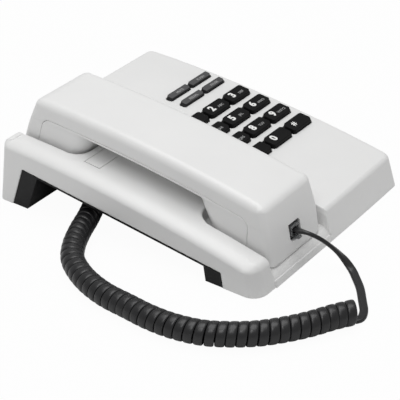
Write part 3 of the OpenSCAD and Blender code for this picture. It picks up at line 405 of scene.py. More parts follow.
def plan_box(u, v, hu, hv, r):
    """Distance to a rectangle with rounded corners, and how far past each rounding's start a point is."""
    qu, qv = np.abs(u) - (hu - r), np.abs(v) - (hv - r)
    d = np.hypot(np.maximum(qu, 0), np.maximum(qv, 0)) + np.minimum(np.maximum(qu, qv), 0) - r
    return d, qu, qv


# ---- Shared sizes of the base ----

ARC_R = 1000.0
ARC_Y, ARC_Z = 127.6369, -954.4018
HALF_W, HALF_D = 75.0, 100.0
PANEL_FRONT_Z, PANEL_REAR_Z = 20.5, 45.0
# Lean of the walls for each millimetre of height
SIDE_LEAN, FRONT_LEAN, REAR_LEAN = 3 / PANEL_REAR_Z, 5 / PANEL_FRONT_Z, 7 / PANEL_REAR_Z
FRONT_BOW = 1.1
WALL = 2.2
SKIRT_Z = 0.5
PANEL_TILT = np.radians(7.30462)
KEYPAD_Y = 0.5
BAY_X, BAY_X0, BAY_X1 = -31.0, -58.0, -2.0
EAR_Y, MOUTH_Y = 69.5, -63.4


def above(y, z):
    """Height above the arc that the panel follows, square to it."""
    return np.hypot(y - ARC_Y, z - ARC_Z) - ARC_R


def arc_z(y, off=0.0):
    """Height of the surface that lies off above the panel's arc."""
    return ARC_Z + np.sqrt((ARC_R + off) ** 2 - (y - ARC_Y) ** 2)


FRONT_LEFT_R, OTHER_CORNER_R = 9.0, 5.0
BRIDGE_DROP, BRIDGE_FILLET = 2.5, 0.5
PANEL_LEFT_R, PANEL_RIGHT_R = 0.9, 3.0
# Width and height of the roll along the left strip, and its radius at the base's ends
ROLL_W, ROLL_H, ROLL_END_R = 10.5, 4.7, 2.0
# Distances left of the middle between which that radius grows by a millimetre
ROLL_GROW_X = (2, 55)
# Angles round a corner, in radians, between which the roll narrows
ROLL_TURN = (0.2, 1.37)


def front_wall_y(x, z):
    """Where the front wall stands: it leans back with height and bows by the square of x."""
    return -HALF_D + FRONT_BOW * (x / HALF_W) ** 2 + z * FRONT_LEAN


def base_body(x, y, z):
    """The base without its underside, wells and holes.

    Four drafted walls with rounded corners stand under a top that follows the panel's arc, with the
    strip on the left and the bay sunk below the panel. The edge of the left side is a wide flat roll,
    which narrows round the corners.
    """
    half_x = HALF_W - z * SIDE_LEAN
    front = front_wall_y(x, z)
    rear = HALF_D - z * REAR_LEAN
    v = y - (front + rear) / 2
    r = np.where((x < 0) & (v < 0), FRONT_LEFT_R, OTHER_CORNER_R)
    wall, qu, qv = plan_box(x, v, half_x, (rear - front) / 2, r)
    off = above(y, z)
    top = join_round(cut_round(off, BAY_X1 - x, PANEL_LEFT_R), off + BRIDGE_DROP, BRIDGE_FILLET)
    end = ramp(np.arctan2(np.maximum(qv, 0), np.maximum(qu, 1e-6)), *ROLL_TURN)
    end_r = ROLL_END_R + ramp(-x, *ROLL_GROW_X)
    wide = np.where(x < 0, ROLL_W, PANEL_RIGHT_R)
    tall = np.where(x < 0, ROLL_H, PANEL_RIGHT_R)
    return cut_oval(wall, top, wide + (end_r - wide) * end, tall + (end_r - tall) * end)


EAR_WELL_Y, MOUTH_WELL_Y = 42.5, -43.0
EAR_WELL_R, MOUTH_WELL_R = 10.2, 12.1
WELL_DEPTH, WELL_FLOOR_R = 11.3, 0.8


def bay_side(x):
    """Distance outside the bay's two straight sides."""
    return np.abs(x - (BAY_X0 + BAY_X1) / 2) - (BAY_X1 - BAY_X0) / 2


def wells(x, y, z):
    """The two wells of the cups, each open towards its end of the base and rounded at its inner end."""
    ear = cut_round(bay_side(x), EAR_WELL_Y - y, EAR_WELL_R)
    mouth = cut_round(bay_side(x), y - MOUTH_WELL_Y, MOUTH_WELL_R)
    return cut_round(np.minimum(ear, mouth), -WELL_DEPTH - above(y, z), WELL_FLOOR_R)


# Where each end of the arch meets the desk, its lean for each millimetre of height, and that lean's cosine
ARCH_FRONT_Y, ARCH_FRONT_LEAN, ARCH_FRONT_COS = -75.0, 0.158, 0.988
ARCH_REAR_Y, ARCH_REAR_LEAN, ARCH_REAR_COS = 88.0, 0.3774, 0.9356
# The crown's front end, its rise for each millimetre towards the rear, and the cosine of the rise
CROWN_Y, CROWN_Z, CROWN_RISE, CROWN_COS = -73.5, 10.0, 0.1151, 0.9934
ARCH_FRONT_R, ARCH_REAR_R = 1.0, 1.2


def arch(x, y, z):
    """The space under the arch: in front of its rear line, behind its front line and below its crown."""
    front = -(y - ARCH_FRONT_Y - z * ARCH_FRONT_LEAN) * ARCH_FRONT_COS
    rear = (y - ARCH_REAR_Y + z * ARCH_REAR_LEAN) * ARCH_REAR_COS
    crown = (z - CROWN_Z - (y - CROWN_Y) * CROWN_RISE) * CROWN_COS
    return cut_round(cut_round(front, crown, ARCH_FRONT_R), rear, ARCH_REAR_R)


KEY_L, KEY_D, KEY_CUT, FN_CUT = 21.0, 10.0, 2.2, 1.5
# Gap round each key, and half the depth of its hole
KEY_GAP, KEY_HOLE = 0.35, 12
KEY_X = np.array([13.2, 34.8, 56.4])
PITCH_X = 21.6


def on_panel_y(y):
    """A place on the sloping keypad, from the y at which it is seen from above."""
    return (y - KEYPAD_Y) / np.cos(PANEL_TILT)


KEY_ROWS = on_panel_y(np.array([15.5, -0.2, -15.9, -31.6]) - KEY_D / 2)
FN_D = 5.1
FN_ROWS = on_panel_y(np.array([42.6, 31.7]) - FN_D / 2)


def panel_frame(y, z):
    """Coordinates along and square to the keypad's plane."""
    c, s = np.cos(PANEL_TILT), np.sin(PANEL_TILT)
    dy, dz = y - KEYPAD_Y, z - arc_z(KEYPAD_Y)
    return dy * c + dz * s, dz * c - dy * s


def cut_rect(u, v, hu, hv, cut):
    """Distance to a rectangle whose corners are cut off at 45 degrees."""
    a, b = np.abs(u) - hu, np.abs(v) - hv
    return np.maximum(np.maximum(a, b), (a + b + cut) * HALF_ROOT)


def key_holes(x, y, z):
    """Holes of the keys through the panel, a little larger than each key."""
    v, w = panel_frame(y, z)
    col = np.clip(np.round((x - KEY_X[0]) / PITCH_X), 0, 2)
    u = x - KEY_X[0] - PITCH_X * col
    step = KEY_ROWS[1] - KEY_ROWS[0]
    row = np.clip(np.round((v - KEY_ROWS[0]) / step), 0, 3)
    digit = cut_rect(u, v - KEY_ROWS[0] - step * row, KEY_L / 2 + KEY_GAP, KEY_D / 2 + KEY_GAP, KEY_CUT)
    col = np.clip(col, 1, 2)
    u = x - KEY_X[0] - PITCH_X * col
    step = FN_ROWS[1] - FN_ROWS[0]
    row = np.clip(np.round((v - FN_ROWS[0]) / step), 0, 1)
    other = cut_rect(u, v - FN_ROWS[0] - step * row, KEY_L / 2 + KEY_GAP, FN_D / 2 + KEY_GAP, FN_CUT)
    return np.maximum(np.minimum(digit, other), np.abs(w) - KEY_HOLE)


HOOK_X, HOOK_HALF_L = -32.85, 26.35
HOOK_Y, HOOK_W, HOOK_GAP = 31.6, 11.2, 0.45
TONGUE_HALF_W, TONGUE_Y, TONGUE_HALF_L = 6.7, 45.9, 14.3
SLOT_LOW_Z = 15


def hook_slot(x, y, z):
    """The lever's slot across the bridge, and the narrow one of its tongue, back into the ear well."""
    bar_x = np.abs(x - HOOK_X) - HOOK_HALF_L - HOOK_GAP
    bar_y = np.abs(y - HOOK_Y) - HOOK_W / 2 - HOOK_GAP
    bar = np.maximum(bar_x, bar_y)
    tongue = np.maximum(np.abs(x - BAY_X) - TONGUE_HALF_W, np.abs(y - TONGUE_Y) - TONGUE_HALF_L)
    return np.maximum(np.minimum(bar, tongue), SLOT_LOW_Z - z)


LINE_X, LINE_Z, LINE_HALF_W, LINE_HALF_H, LINE_FROM_Y = 30, 13, 4.9, 3.4, 90


def line_hole(x, y, z):
    """The rectangular opening of the line socket, through the rear wall."""
    outline = np.maximum(np.abs(x - LINE_X) - LINE_HALF_W, np.abs(z - LINE_Z) - LINE_HALF_H)
    return np.maximum(outline, LINE_FROM_Y - y)


LIP_COS, LIP_SET_BACK, LIP_ROLL_R = 0.97, 0.5, 4.4
LIP_STEP_Z, LIP_STEP_R, LIP_GROOVE_R = 4.7, 0.35, 0.12
LIP_REAR_Y, LIP_WALL = -85, 1.4
# How much further back than the strip's face the case top is cut
LIP_SEAT = 0.35


def lip_profile(y, z):
    """Side view of the front of the mouthpiece's well.

    Its floor rolls down to a groove, over a lower step.
    """
    front = (front_wall_y(0, z) - y) * LIP_COS
    roll = cut_round(front + LIP_SET_BACK, above(y, z) + WELL_DEPTH, LIP_ROLL_R)
    step = cut_round(front, z - LIP_STEP_Z, LIP_STEP_R)
    return join_round(roll, step, LIP_GROOVE_R)


def front_lip_cut(x, y, z):
    """Takes away what stands in front of the strip's seat, between the well's sides."""
    return np.minimum(np.minimum(lip_profile(y, z) + LIP_SEAT, -bay_side(x)), LIP_REAR_Y - y)


def front_lip(x, y, z):
    """The rolled front edge of the mouthpiece's well as a thin finely cut strip, set in the case top."""
    body = np.maximum(lip_profile(y, z), -(lip_profile(y, z) + LIP_WALL))
    return np.maximum(np.maximum(body, bay_side(x)), np.maximum(y - LIP_REAR_Y + 1, SKIRT_Z - z))


WELL_EDGE_R, ARCH_EDGE_R = 0.9, 0.4


def upper_housing(x, y, z):
    """The case top as a shell: the base's body less its wells, hollow inside.

    It is cut by the arch, the keys' holes, the lever's slot and the line socket's opening.
    """
    body = cut_round(base_body(x, y, z), -wells(x, y, z), WELL_EDGE_R)
    body = np.maximum(body, front_lip_cut(x, y, z))
    shell = np.maximum(body, -(body + WALL))
    shell = np.maximum(shell, SKIRT_Z - z)
    shell = cut_round(shell, -arch(x, y, z), ARCH_EDGE_R)
    shell = np.maximum(shell, -key_holes(x, y, z))
    shell = np.maximum(shell, -hook_slot(x, y, z))
    return np.maximum(shell, -line_hole(x, y, z))


def add_upper_housing():
    """The case top and, on a finer grid, the strip of its front lip."""
    parts = (
        ("case_top", upper_housing, (-77, -102, 0), (77, 102, 50), CASE_CELL),
        ("front_lip", front_lip, (BAY_X0 - 0.5, -101, 0.2), (BAY_X1 + 0.5, LIP_REAR_Y, 12), LIP_CELL),
    )
    for name, field, low, high, cell in parts:
        verts, faces, normals = contour(field, low, high, cell)
        piece = make_piece(name, verts, faces, white_shell, normals)
        dress(piece, "base", "upper_housing", "upper_housing")


# ---- Handset ----


# Heights above the panel's arc: the back's top, the grip's underside and the cups' feet
BACK_OFF, GRIP_OFF, FOOT_OFF = 23, 10, -10.7
# Half the handset's width, how much its sides lean in, and the height where they start to
HANDSET_HALF_W, SIDE_TAPER, TAPER_OFF = 25, 1.3, 2
UPRIGHT_R, BACK_R, GRIP_R, CUP_FOOT_R, GRIP_CUP_R = 4.5, 5, 0.9, 0.8, 1.5
# How much tighter the back's edge gets towards each end, and between which distances
FRONT_TIGHTER, FRONT_TIGHT_Y = 2, (82, 88)
REAR_TIGHTER, REAR_TIGHT_Y = 1.5, (72, 80)
# Each end face: its place at a height, its lean, its bulge and the cosine of its lean
FRONT_END_Y, FRONT_END_Z, FRONT_END_LEAN, FRONT_END_BULGE, FRONT_END_COS = -95.2, 10, 0.05, 0.0039, 0.96
REAR_END_Y, REAR_END_Z, REAR_END_LEAN, REAR_END_BULGE, REAR_END_COS = 79, 65.5, 0.52, 0.002, 0.88
# Each cup's inner end: its place CUP_OFF below the arc, its lean, the lean's cosine and its corner radius
CUP_OFF = 11
EAR_CUP_Y, EAR_LEAN, EAR_COS, EAR_R = 48.5, 0.532, 0.883, 9
MOUTH_CUP_Y, MOUTH_LEAN, MOUTH_COS, MOUTH_R = -49.0, 0.466, 0.906, 13


def handset_body(x, y, z):
    """The whole handset: a long back that follows the arc, a slim grip under it and a cup at each end.

    The end faces lean, and bulge by the square of the distance from one edge. Each cup's inner end is round.
    """
    off = above(y, z)
    side = np.abs(x - BAY_X) - (HANDSET_HALF_W - SIDE_TAPER * ramp(off, TAPER_OFF, BACK_OFF))
    up = z - FRONT_END_Z
    front = FRONT_END_Y + FRONT_END_LEAN * up + FRONT_END_BULGE * up * up
    drop = REAR_END_Z - z
    rear = REAR_END_Y + REAR_END_LEAN * drop - REAR_END_BULGE * drop * drop
    ends = np.maximum((front - y) * FRONT_END_COS, (y - rear) * REAR_END_COS)
    plan = cut_round(side, ends, UPRIGHT_R)
    soft = BACK_R - FRONT_TIGHTER * ramp(-y, *FRONT_TIGHT_Y) - REAR_TIGHTER * ramp(y, *REAR_TIGHT_Y)
    back = cut_round(plan, off - BACK_OFF, soft)
    ear = cut_round(side, (EAR_CUP_Y - EAR_LEAN * (off + CUP_OFF) - y) * EAR_COS, EAR_R)
    mouth = cut_round(side, (y - MOUTH_CUP_Y - MOUTH_LEAN * (off + CUP_OFF)) * MOUTH_COS, MOUTH_R)
    cups = cut_round(np.minimum(ear, mouth), FOOT_OFF - off, CUP_FOOT_R)
    under = join_round(GRIP_OFF - off, cups, GRIP_CUP_R)
    return cut_round(back, under, GRIP_R)


SEAM, SEAM_EDGE_R, SEAM_CORNER_R, SEAM_OFF = 0.28, 0.25, 5, 11.8
SEAM_FRONT_Y, SEAM_FRONT_Z, SEAM_FRONT_LEAN = -78.5, 23.5, 0.06
SEAM_REAR_Y, SEAM_REAR_Z, SEAM_REAR_LEAN = 77.4, 41, 0.35


def seam_region(y, z):
    """Side view of the lower shell: the cups up to a rounded seam, and a thin strip along the grip."""
    strip = above(y, z) - SEAM_OFF
    front = -(y - SEAM_FRONT_Y) - SEAM_FRONT_LEAN * (z - SEAM_FRONT_Z)
    rear = (y - SEAM_REAR_Y) - SEAM_REAR_LEAN * (SEAM_REAR_Z - z)
    return cut_round(cut_round(strip, front, SEAM_CORNER_R), rear, SEAM_CORNER_R)


SOCKET_Z, SOCKET_HALF_W, SOCKET_HALF_H, SOCKET_REAR_Y = 22.1, 5.4, 5.7, -80
# Where the two cut corners lie: the sum of the distances across and up from the middle
SOCKET_LOW_CUT, SOCKET_HIGH_CUT = 8.9, 9.7


def socket_hole(x, y, z):
    """The opening of the plug's socket: a rectangle with two corners cut."""
    u, w = x - BAY_X, z - SOCKET_Z
    outline = np.maximum(np.abs(u) - SOCKET_HALF_W, np.abs(w) - SOCKET_HALF_H)
    cuts = np.maximum(-u - w - SOCKET_LOW_CUT, u + w - SOCKET_HIGH_CUT) * HALF_ROOT
    return np.maximum(np.maximum(outline, cuts), y - SOCKET_REAR_Y)


SOUND_RING_R, SOUND_HOLE_R = 7, 1
EAR_HOLES, MOUTH_HOLES = 8, 4


def sound_holes(x, y):
    """A ring of small holes and one in the middle, under each capsule."""
    found = np.full(np.shape(x), np.inf)
    for cy, count in ((EAR_Y, EAR_HOLES), (MOUTH_Y, MOUTH_HOLES)):
        u, v, step = x - BAY_X, y - cy, 2 * np.pi / count
        angle = np.round(np.arctan2(v, u) / step) * step
        ring = np.hypot(u - SOUND_RING_R * np.cos(angle), v - SOUND_RING_R * np.sin(angle)) - SOUND_HOLE_R
        found = np.minimum(found, np.minimum(ring, np.hypot(u, v) - SOUND_HOLE_R))
    return found


PLUG_Z, PLUG_HALF_W, PLUG_HALF_H, PLUG_Y, PLUG_HALF_L = 22.6, 3.85, 3.3, -88.35, 5.85
PORT_HALF_W, PORT_HALF_H, PORT_DROP, PORT_MID_Y, PORT_HALF_L = 2.9, 2.4, 0.3, -94.0, 3.2
PLUG_EDGE_R, PLUG_END_R, LATCH_END_R = 0.5, 0.4, 0.2
LATCH_DROP, LATCH_LEAN = 4.4, 0.115
LATCH_HALF_W, LATCH_HALF_T, LATCH_Y, LATCH_HALF_L = 1.6, 0.55, -90.6, 7.0


def plug_field(x, y, z):
    """The clear plug: a block with small edge rounding, the cord's mouth and a leaning latch below."""
    u, w = x - BAY_X, z - PLUG_Z
    block = cut_round(np.abs(u) - PLUG_HALF_W, np.abs(w) - PLUG_HALF_H, PLUG_EDGE_R)
    block = cut_round(block, np.abs(y - PLUG_Y) - PLUG_HALF_L, PLUG_END_R)
    mouth = np.maximum(np.abs(u) - PORT_HALF_W, np.abs(w + PORT_DROP) - PORT_HALF_H)
    mouth = np.maximum(mouth, np.abs(y - PORT_MID_Y) - PORT_HALF_L)
    lean = w + LATCH_DROP + LATCH_LEAN * (y - PORT_MID_Y)
    latch = np.maximum(np.abs(u) - LATCH_HALF_W, np.abs(lean) - LATCH_HALF_T)
    latch = cut_round(latch, np.abs(y - LATCH_Y) - LATCH_HALF_L, LATCH_END_R)
    return np.maximum(np.minimum(block, latch), -mouth)


def add_plug():
    """The clear plug in the handset's front end."""
    verts, faces, normals = contour(plug_field, (-35.5, -98.4, 16), (-26.5, -82, 27), PLUG_CELL)
    piece = make_piece("clear_plug", verts, faces, plug_clear, normals)
    dress(piece, "handset", "handset_plug", "handset_plug")


SKIN = 2


def handset_upper(x, y, z):
    """The upper half: the handset's skin outside the seam, with the socket's opening in its front end."""
    body = handset_body(x, y, z)
    shell = np.maximum(body, -(body + SKIN))
    shell = cut_round(shell, -seam_region(y, z) + SEAM / 2, SEAM_EDGE_R)
    return np.maximum(shell, -socket_hole(x, y, z))


def handset_lower(x, y, z):
    """The lower half: the handset's skin inside the seam, with the sound holes of both cups."""
    body = handset_body(x, y, z)
    shell = np.maximum(body, -(body + SKIN))
    shell = cut_round(shell, seam_region(y, z) + SEAM / 2, SEAM_EDGE_R)
    return np.maximum(shell, -np.maximum(sound_holes(x, y), above(y, z)))


def add_handset():
    """The two halves of the handset's case."""
    low, high = (-57, -97, 5), (-5, 96, 72)
    for name, field, node in (
        ("handset_back", handset_upper, "handset_upper_shell"),
        ("handset_under", handset_lower, "handset_lower_shell"),
    ):
        verts, faces, normals = contour(field, low, high, HANDSET_CELL)
        dress(make_piece(name, verts, faces, white_handset, normals), "handset", node, node)


# ---- Keys ----


def cut_outline(hu, hv, cut, small, soft, steps=5):
    """Points round a rectangle with cut corners.

    Each of the eight corners left is a run of points on a parabola, from soft before the corner to soft
    after it. The rear right and front left corners have the small cut.
    """
    corners = []
    for su, sv, c in ((1, 1, small), (-1, 1, cut), (-1, -1, small), (1, -1, cut)):
        pair = [(su * hu, sv * (hv - c)), (su * (hu - c), sv * hv)]
        corners += pair if su * sv > 0 else pair[::-1]
    corners = np.array(corners, float)
    points = []
    for i, p in enumerate(corners):
        before, after = corners[i - 1] - p, corners[(i + 1) % len(corners)] - p
        before, after = before / np.linalg.norm(before), after / np.linalg.norm(after)
        for t in np.linspace(0, 1, steps):
            a, b = p + before * soft * (1 - t), p + after * soft * t
            points.append(a + (b - a) * t)
    return np.array(points)


def loft_rings(rings, top_centre, bottom_centre):
    """Closed surface through a stack of rings of points, with a fan of triangles at each end."""
    count, size = len(rings), len(rings[0])
    verts = np.concatenate([np.concatenate(rings), [bottom_centre, top_centre]])
    a = np.arange(size)
    b = (a + 1) % size
    faces = []
    for k in range(count - 1):
        faces += np.stack([k * size + a, k * size + b, (k + 1) * size + b, (k + 1) * size + a], 1).tolist()
    bottom, top = count * size, count * size + 1
    faces += [[bottom, j, i] for i, j in zip(a, b)]
    faces += [[top, (count - 1) * size + i, (count - 1) * size + j] for i, j in zip(a, b)]
    return verts, faces


def sag(v):
    """How far the panel's arc lies below its tangent plane, v from where they touch."""
    return ARC_R - np.sqrt(ARC_R**2 - v * v)


def panel_points(points, x0, v0):
    """Moves points from a key's own frame to the row frame."""
    c, s = np.cos(PANEL_TILT), np.sin(PANEL_TILT)
    x, v, w = points[:, 0] + x0, points[:, 1] + v0, points[:, 2] - sag(v0)
    return np.stack([x, KEYPAD_Y + v * c - w * s, arc_z(KEYPAD_Y) + v * s + w * c], 1)


KEY_H, FN_H = 2.6, 2.2
# Depth of a cap below the panel, radius of its top edge, and how far its sides and its ends lean in
CAP_DEPTH, EDGE_R, DRAFT, END_DRAFT = 5.2, 0.3, 0.05, 0.85
# Softness of a cap's corners, how much smaller its two small cuts are, and its dish's depth
CAP_CORNER, SMALL_CUT_LESS, DISH = 0.25, 1.3, 0.12
# Angles of the rings on the top edge's arc, shares of the dish's rings, and bands of the wall that take the
# darker material of painted shade
EDGE_TURN, DISH_RINGS, SHADED_WALL_BANDS = np.linspace(0.4, 1.45, 4), (0.97, 0.7, 0.35), 3
# Angles in degrees above which an edge is sharp
CAP_SHARP, CORD_SHARP = 25, 60


def add_key(name, x0, v0, half_v, height, cut, material, wall):
    """A key cap.

    Walls with a slight draft, darkened by painted shade, a top edge that is an arc, and a dish deepest in
    the middle.
    """
    levels = [(-CAP_DEPTH, 0.0), (0.0, 0.0), (height - EDGE_R, DRAFT)]
    for t in EDGE_TURN:
        levels.append((height - EDGE_R * (1 - np.sin(t)), DRAFT + EDGE_R * (1 - np.cos(t))))
    rings = []
    for w, inset in levels:
        end = inset + END_DRAFT * max(w, 0) / height
        ring = cut_outline(KEY_L / 2 - end, half_v - inset, cut, cut - SMALL_CUT_LESS, CAP_CORNER)
        rings.append(np.column_stack([ring, np.full(len(ring), w)]))
    top = rings[-1]
    for shrink in DISH_RINGS:
        ring = top.copy()
        ring[:, :2] *= shrink
        ring[:, 2] = height - DISH * (1 - shrink**2)
        rings.append(ring)
    verts, faces = loft_rings(rings, (0, 0, height - DISH), (0, 0, levels[0][0]))
    piece = make_piece(name + "_cap", panel_points(verts, x0, v0), faces, material, sharp=CAP_SHARP)
    # The wall takes the second, darker material: painted shade in the key's hole and between keys
    piece.data.materials.append(wall)
    for polygon in piece.data.polygons[: SHADED_WALL_BANDS * len(top)]:
        polygon.material_index = 1
    dress(piece, name, name, name)


PRINT_T = 0.03


def add_words(name, text, body, x0, v0, at, size, height, material, bold):
    """Flat printed words on a key, turned into a thin mesh that follows the key's frame."""
    curve = bpy.data.curves.new(name, "FONT")
    curve.body = text
    curve.size = size
    curve.align_x, curve.align_y = "CENTER", "CENTER"
    curve.offset = bold
    curve.resolution_u = 3
    curve.extrude = PRINT_T
    holder = bpy.data.objects.new(name, curve)
    bpy.context.scene.collection.objects.link(holder)
    bpy.context.view_layer.update()
    mesh = bpy.data.meshes.new_from_object(holder.evaluated_get(bpy.context.evaluated_depsgraph_get()))
    bpy.data.objects.remove(holder)
    co = np.empty(len(mesh.vertices) * 3)
    mesh.vertices.foreach_get("co", co)
    co = co.reshape(-1, 3)
    co[:, 0] += at[0]
    co[:, 1] += at[1]
    co[:, 2] += height
    mesh.vertices.foreach_set("co", (panel_points(co, x0, v0) * MM).ravel())
    mesh.materials.clear()
    mesh.materials.append(material)
    mesh.update()
    piece = bpy.data.objects.new(name, mesh)
    bpy.context.scene.collection.objects.link(piece)
    dress(piece, body, body)


DIGITS = (
    ("key_1", "1", ""), ("key_2", "2", "ABC"), ("key_3", "3", "DEF"),
    ("key_4", "4", "GHI"), ("key_5", "5", "JKL"), ("key_6", "6", "MNO"),
    ("key_7", "7", "PQRS"), ("key_8", "8", "TUV"), ("key_9", "9", "WXYZ"),
    ("key_star", "*", ""), ("key_0", "0", ""), ("key_hash", "#", ""),
)  # fmt: skip
FUNCTIONS = (
    ("key_mute", "MUTE"), ("key_flash", "FLASH"),
    ("key_redial", "REDIAL"), ("key_pause", "PAUSE"),
)  # fmt: skip
# How deep the print sits in a cap's dish, and each print's place on the key, letter size and boldness
PRINT_SINK = 0.08
DIGIT_AT, DIGIT_SIZE, DIGIT_BOLD = (-3.8, 0.3), 7.3, 0.3
SIGN_SIZE, SIGN_BOLD = 5.6, 0.12
LETTERS_AT, LETTERS_SIZE, LETTERS_BOLD = (3.4, -1.2), 2.7, 0.06
WORD_AT, WORD_SIZE, WORD_BOLD = (0.9, -0.4), 2.6, 0.08


def add_keys():
    """The twelve dialling keys in three columns and the four function keys in two, with their print."""
    for i, (name, digit, letters) in enumerate(DIGITS):
        x0, v0 = KEY_X[i % 3], KEY_ROWS[i // 3]
        add_key(name, x0, v0, KEY_D / 2, KEY_H, KEY_CUT, black_key, key_wall_painted_shade)
        size, bold = (DIGIT_SIZE, DIGIT_BOLD) if digit.isdigit() else (SIGN_SIZE, SIGN_BOLD)
        print_z = KEY_H - PRINT_SINK
        add_words(name + "_digit", digit, name, x0, v0, DIGIT_AT, size, print_z, legend_white, bold)
        if letters:
            label = name + "_letters"
            at, size, bold = LETTERS_AT, LETTERS_SIZE, LETTERS_BOLD
            add_words(label, letters, name, x0, v0, at, size, print_z, legend_grey, bold)
    for i, (name, word) in enumerate(FUNCTIONS):
        x0, v0 = KEY_X[1 + i % 2], FN_ROWS[i // 2]
        add_key(name, x0, v0, FN_D / 2, FN_H, FN_CUT, grey_key, grey_wall_painted_shade)
        print_z = FN_H - PRINT_SINK
        add_words(name + "_word", word, name, x0, v0, WORD_AT, WORD_SIZE, print_z, legend_grey, WORD_BOLD)


# ---- Cord ----

FRONT_ROUTE = [
    (-31, -90.4, 22.6), (-31, -94, 22.6), (-31, -98, 22.8), (-30, -103, 22.4), (-27, -109, 19),
    (-23, -115, 12.6), (-21, -120, 7), (-22, -126, 3.4), (-27, -132, 2.6), (-34, -139, 2.6),
    (-43, -146, 2.6), (-50, -151.3, 2.6), (-54.5, -153.8, 3), (-57, -154, 3.8), (-59, -152.7, 4.6),
]  # fmt: skip
COIL_ROUTE = [
    (-60, -152, 7), (-70, -145, 7), (-82, -138, 7), (-93, -130, 7), (-104, -120, 7),
    (-113, -108, 7), (-120, -95, 7), (-124, -79, 7), (-125, -63, 7), (-124, -47, 7),
    (-123, -32, 7), (-120, -18, 7), (-115, -5, 7), (-107, 8, 7), (-96, 17, 7),
    (-83, 24, 7), (-69, 30, 7), (-57, 36, 7), (-48, 42, 7), (-42, 49, 7),
]  # fmt: skip
REAR_ROUTE = [
    (-41.6, 49.4, 7), (-39, 54, 7.4), (-37, 60, 8.4), (-36, 65.5, 9.8), (-36, 69.4, 10),
    (-36, 73.4, 10),
]  # fmt: skip
CORD_W, CORD_T = 4.8, 2.5
# The ribbon's width in the coil, and the coil's outer radius, pitch and first angle
COIL_W, COIL_OUT_R, COIL_PITCH, COIL_START = 5.3, 7, 5.35, -np.pi / 2
COIL_R = COIL_OUT_R - CORD_T / 2
TURN_POINTS = 26
# Points on each stretch of a route's curve, and steps along the coil's middle line and the tails
FINE_POINTS, FINE_STEP, TAIL_STEP = 24, 0.1, 1.2
# Direction of the front tail's wide side where the tail hangs twisted
TAIL_WIDE = (-0.66, -0.54, 0.53)
# Shares of the front tail between which it twists, and twists back
TWIST_IN, TWIST_OUT = (0.03, 0.13), (0.22, 0.45)
# Points over which a tail leads into the coil
LEAD_POINTS = 10
# How far the front tail stays above the desk, and the rear one where it stands on its edge
DESK_GAP, REAR_LIFT = 0.1, 0.5
# Heights and points between which the front tail sinks to the desk, and how far
SINK_Z, SINK_POINTS, SINK = (2.6, 7), (8, 20), 1.1
# The section's squareness, and the size and place of the ring that rounds each end
SQUARENESS, END_SHRINK, END_RING, END_TIP = 0.62, 0.8, 0.25, 0.3


def unit(v):
    """Vectors scaled to length one."""
    return v / np.maximum(np.linalg.norm(v, axis=-1, keepdims=True), TINY)


def smooth_route(route, step):
    """Points a fixed step apart on the Catmull-Rom curve through a route."""
    p = np.array(route, float)
    p = np.concatenate([[2 * p[0] - p[1]], p, [2 * p[-1] - p[-2]]])
    t = np.linspace(0, 1, FINE_POINTS, endpoint=False)[:, None]
    fine = []
    for a, b, c, d in zip(p, p[1:], p[2:], p[3:]):
        square, cube = 2 * a - 5 * b + 4 * c - d, 3 * b - a - 3 * c + d
        fine.append(0.5 * (2 * b + (c - a) * t + square * t**2 + cube * t**3))
    fine = np.concatenate([*fine, [p[-2]]])
    length = np.concatenate([[0], np.cumsum(np.linalg.norm(np.diff(fine, axis=0), axis=1))])
    count = max(int(round(length[-1] / step)), 2)
    s = np.linspace(0, length[-1], count + 1)
    return np.stack([np.interp(s, length, fine[:, i]) for i in range(3)], 1), length[-1]


def sweep(name, path, flat, width, thick, sides=16):
    """A closed ribbon-like tube along a path.

    Its section is a superellipse, from the cosine and sine of the angle each raised to one power, with
    its wide side along flat.
    """
    along = unit(np.gradient(path, axis=0))
    wide = unit(flat - (flat * along).sum(1, keepdims=True) * along)
    high = np.cross(along, wide)
    angle = 2 * np.pi * (np.arange(sides) + 0.5) / sides
    cu = np.sign(np.cos(angle)) * np.abs(np.cos(angle)) ** SQUARENESS * width / 2
    cv = np.sign(np.sin(angle)) * np.abs(np.sin(angle)) ** SQUARENESS * thick / 2
    rings = path[:, None, :] + cu[None, :, None] * wide[:, None, :] + cv[None, :, None] * high[:, None, :]
    rings = list(rings)
    for end, way in ((0, -1), (-1, 1)):
        cap = path[end] + (rings[end] - path[end]) * END_SHRINK + way * along[end] * END_RING
        rings = [cap, *rings] if end == 0 else [*rings, cap]
    verts, faces = loft_rings(rings, path[-1] + along[-1] * END_TIP, path[0] - along[0] * END_TIP)
    return make_piece(name, verts, faces, cord_skin, sharp=CORD_SHARP)


def coil_path():
    """The curly part: a helix round the coil's middle line that turns once a pitch.

    The ribbon's wide side lies along the middle line.
    """
    middle, length = smooth_route(COIL_ROUTE, FINE_STEP)
    turns = round(length / COIL_PITCH)
    count = turns * TURN_POINTS
    s = np.linspace(0, 1, count + 1)
    at = s * (len(middle) - 1)
    axis = np.stack([np.interp(at, np.arange(len(middle)), middle[:, i]) for i in range(3)], 1)
    along = unit(np.gradient(axis, axis=0))
    side = unit(np.cross(along, (0, 0, 1.0)))
    top = np.cross(side, along)
    angle = COIL_START + 2 * np.pi * turns * s
    out = np.cos(angle)[:, None] * side + np.sin(angle)[:, None] * top
    return axis + COIL_R * out, along


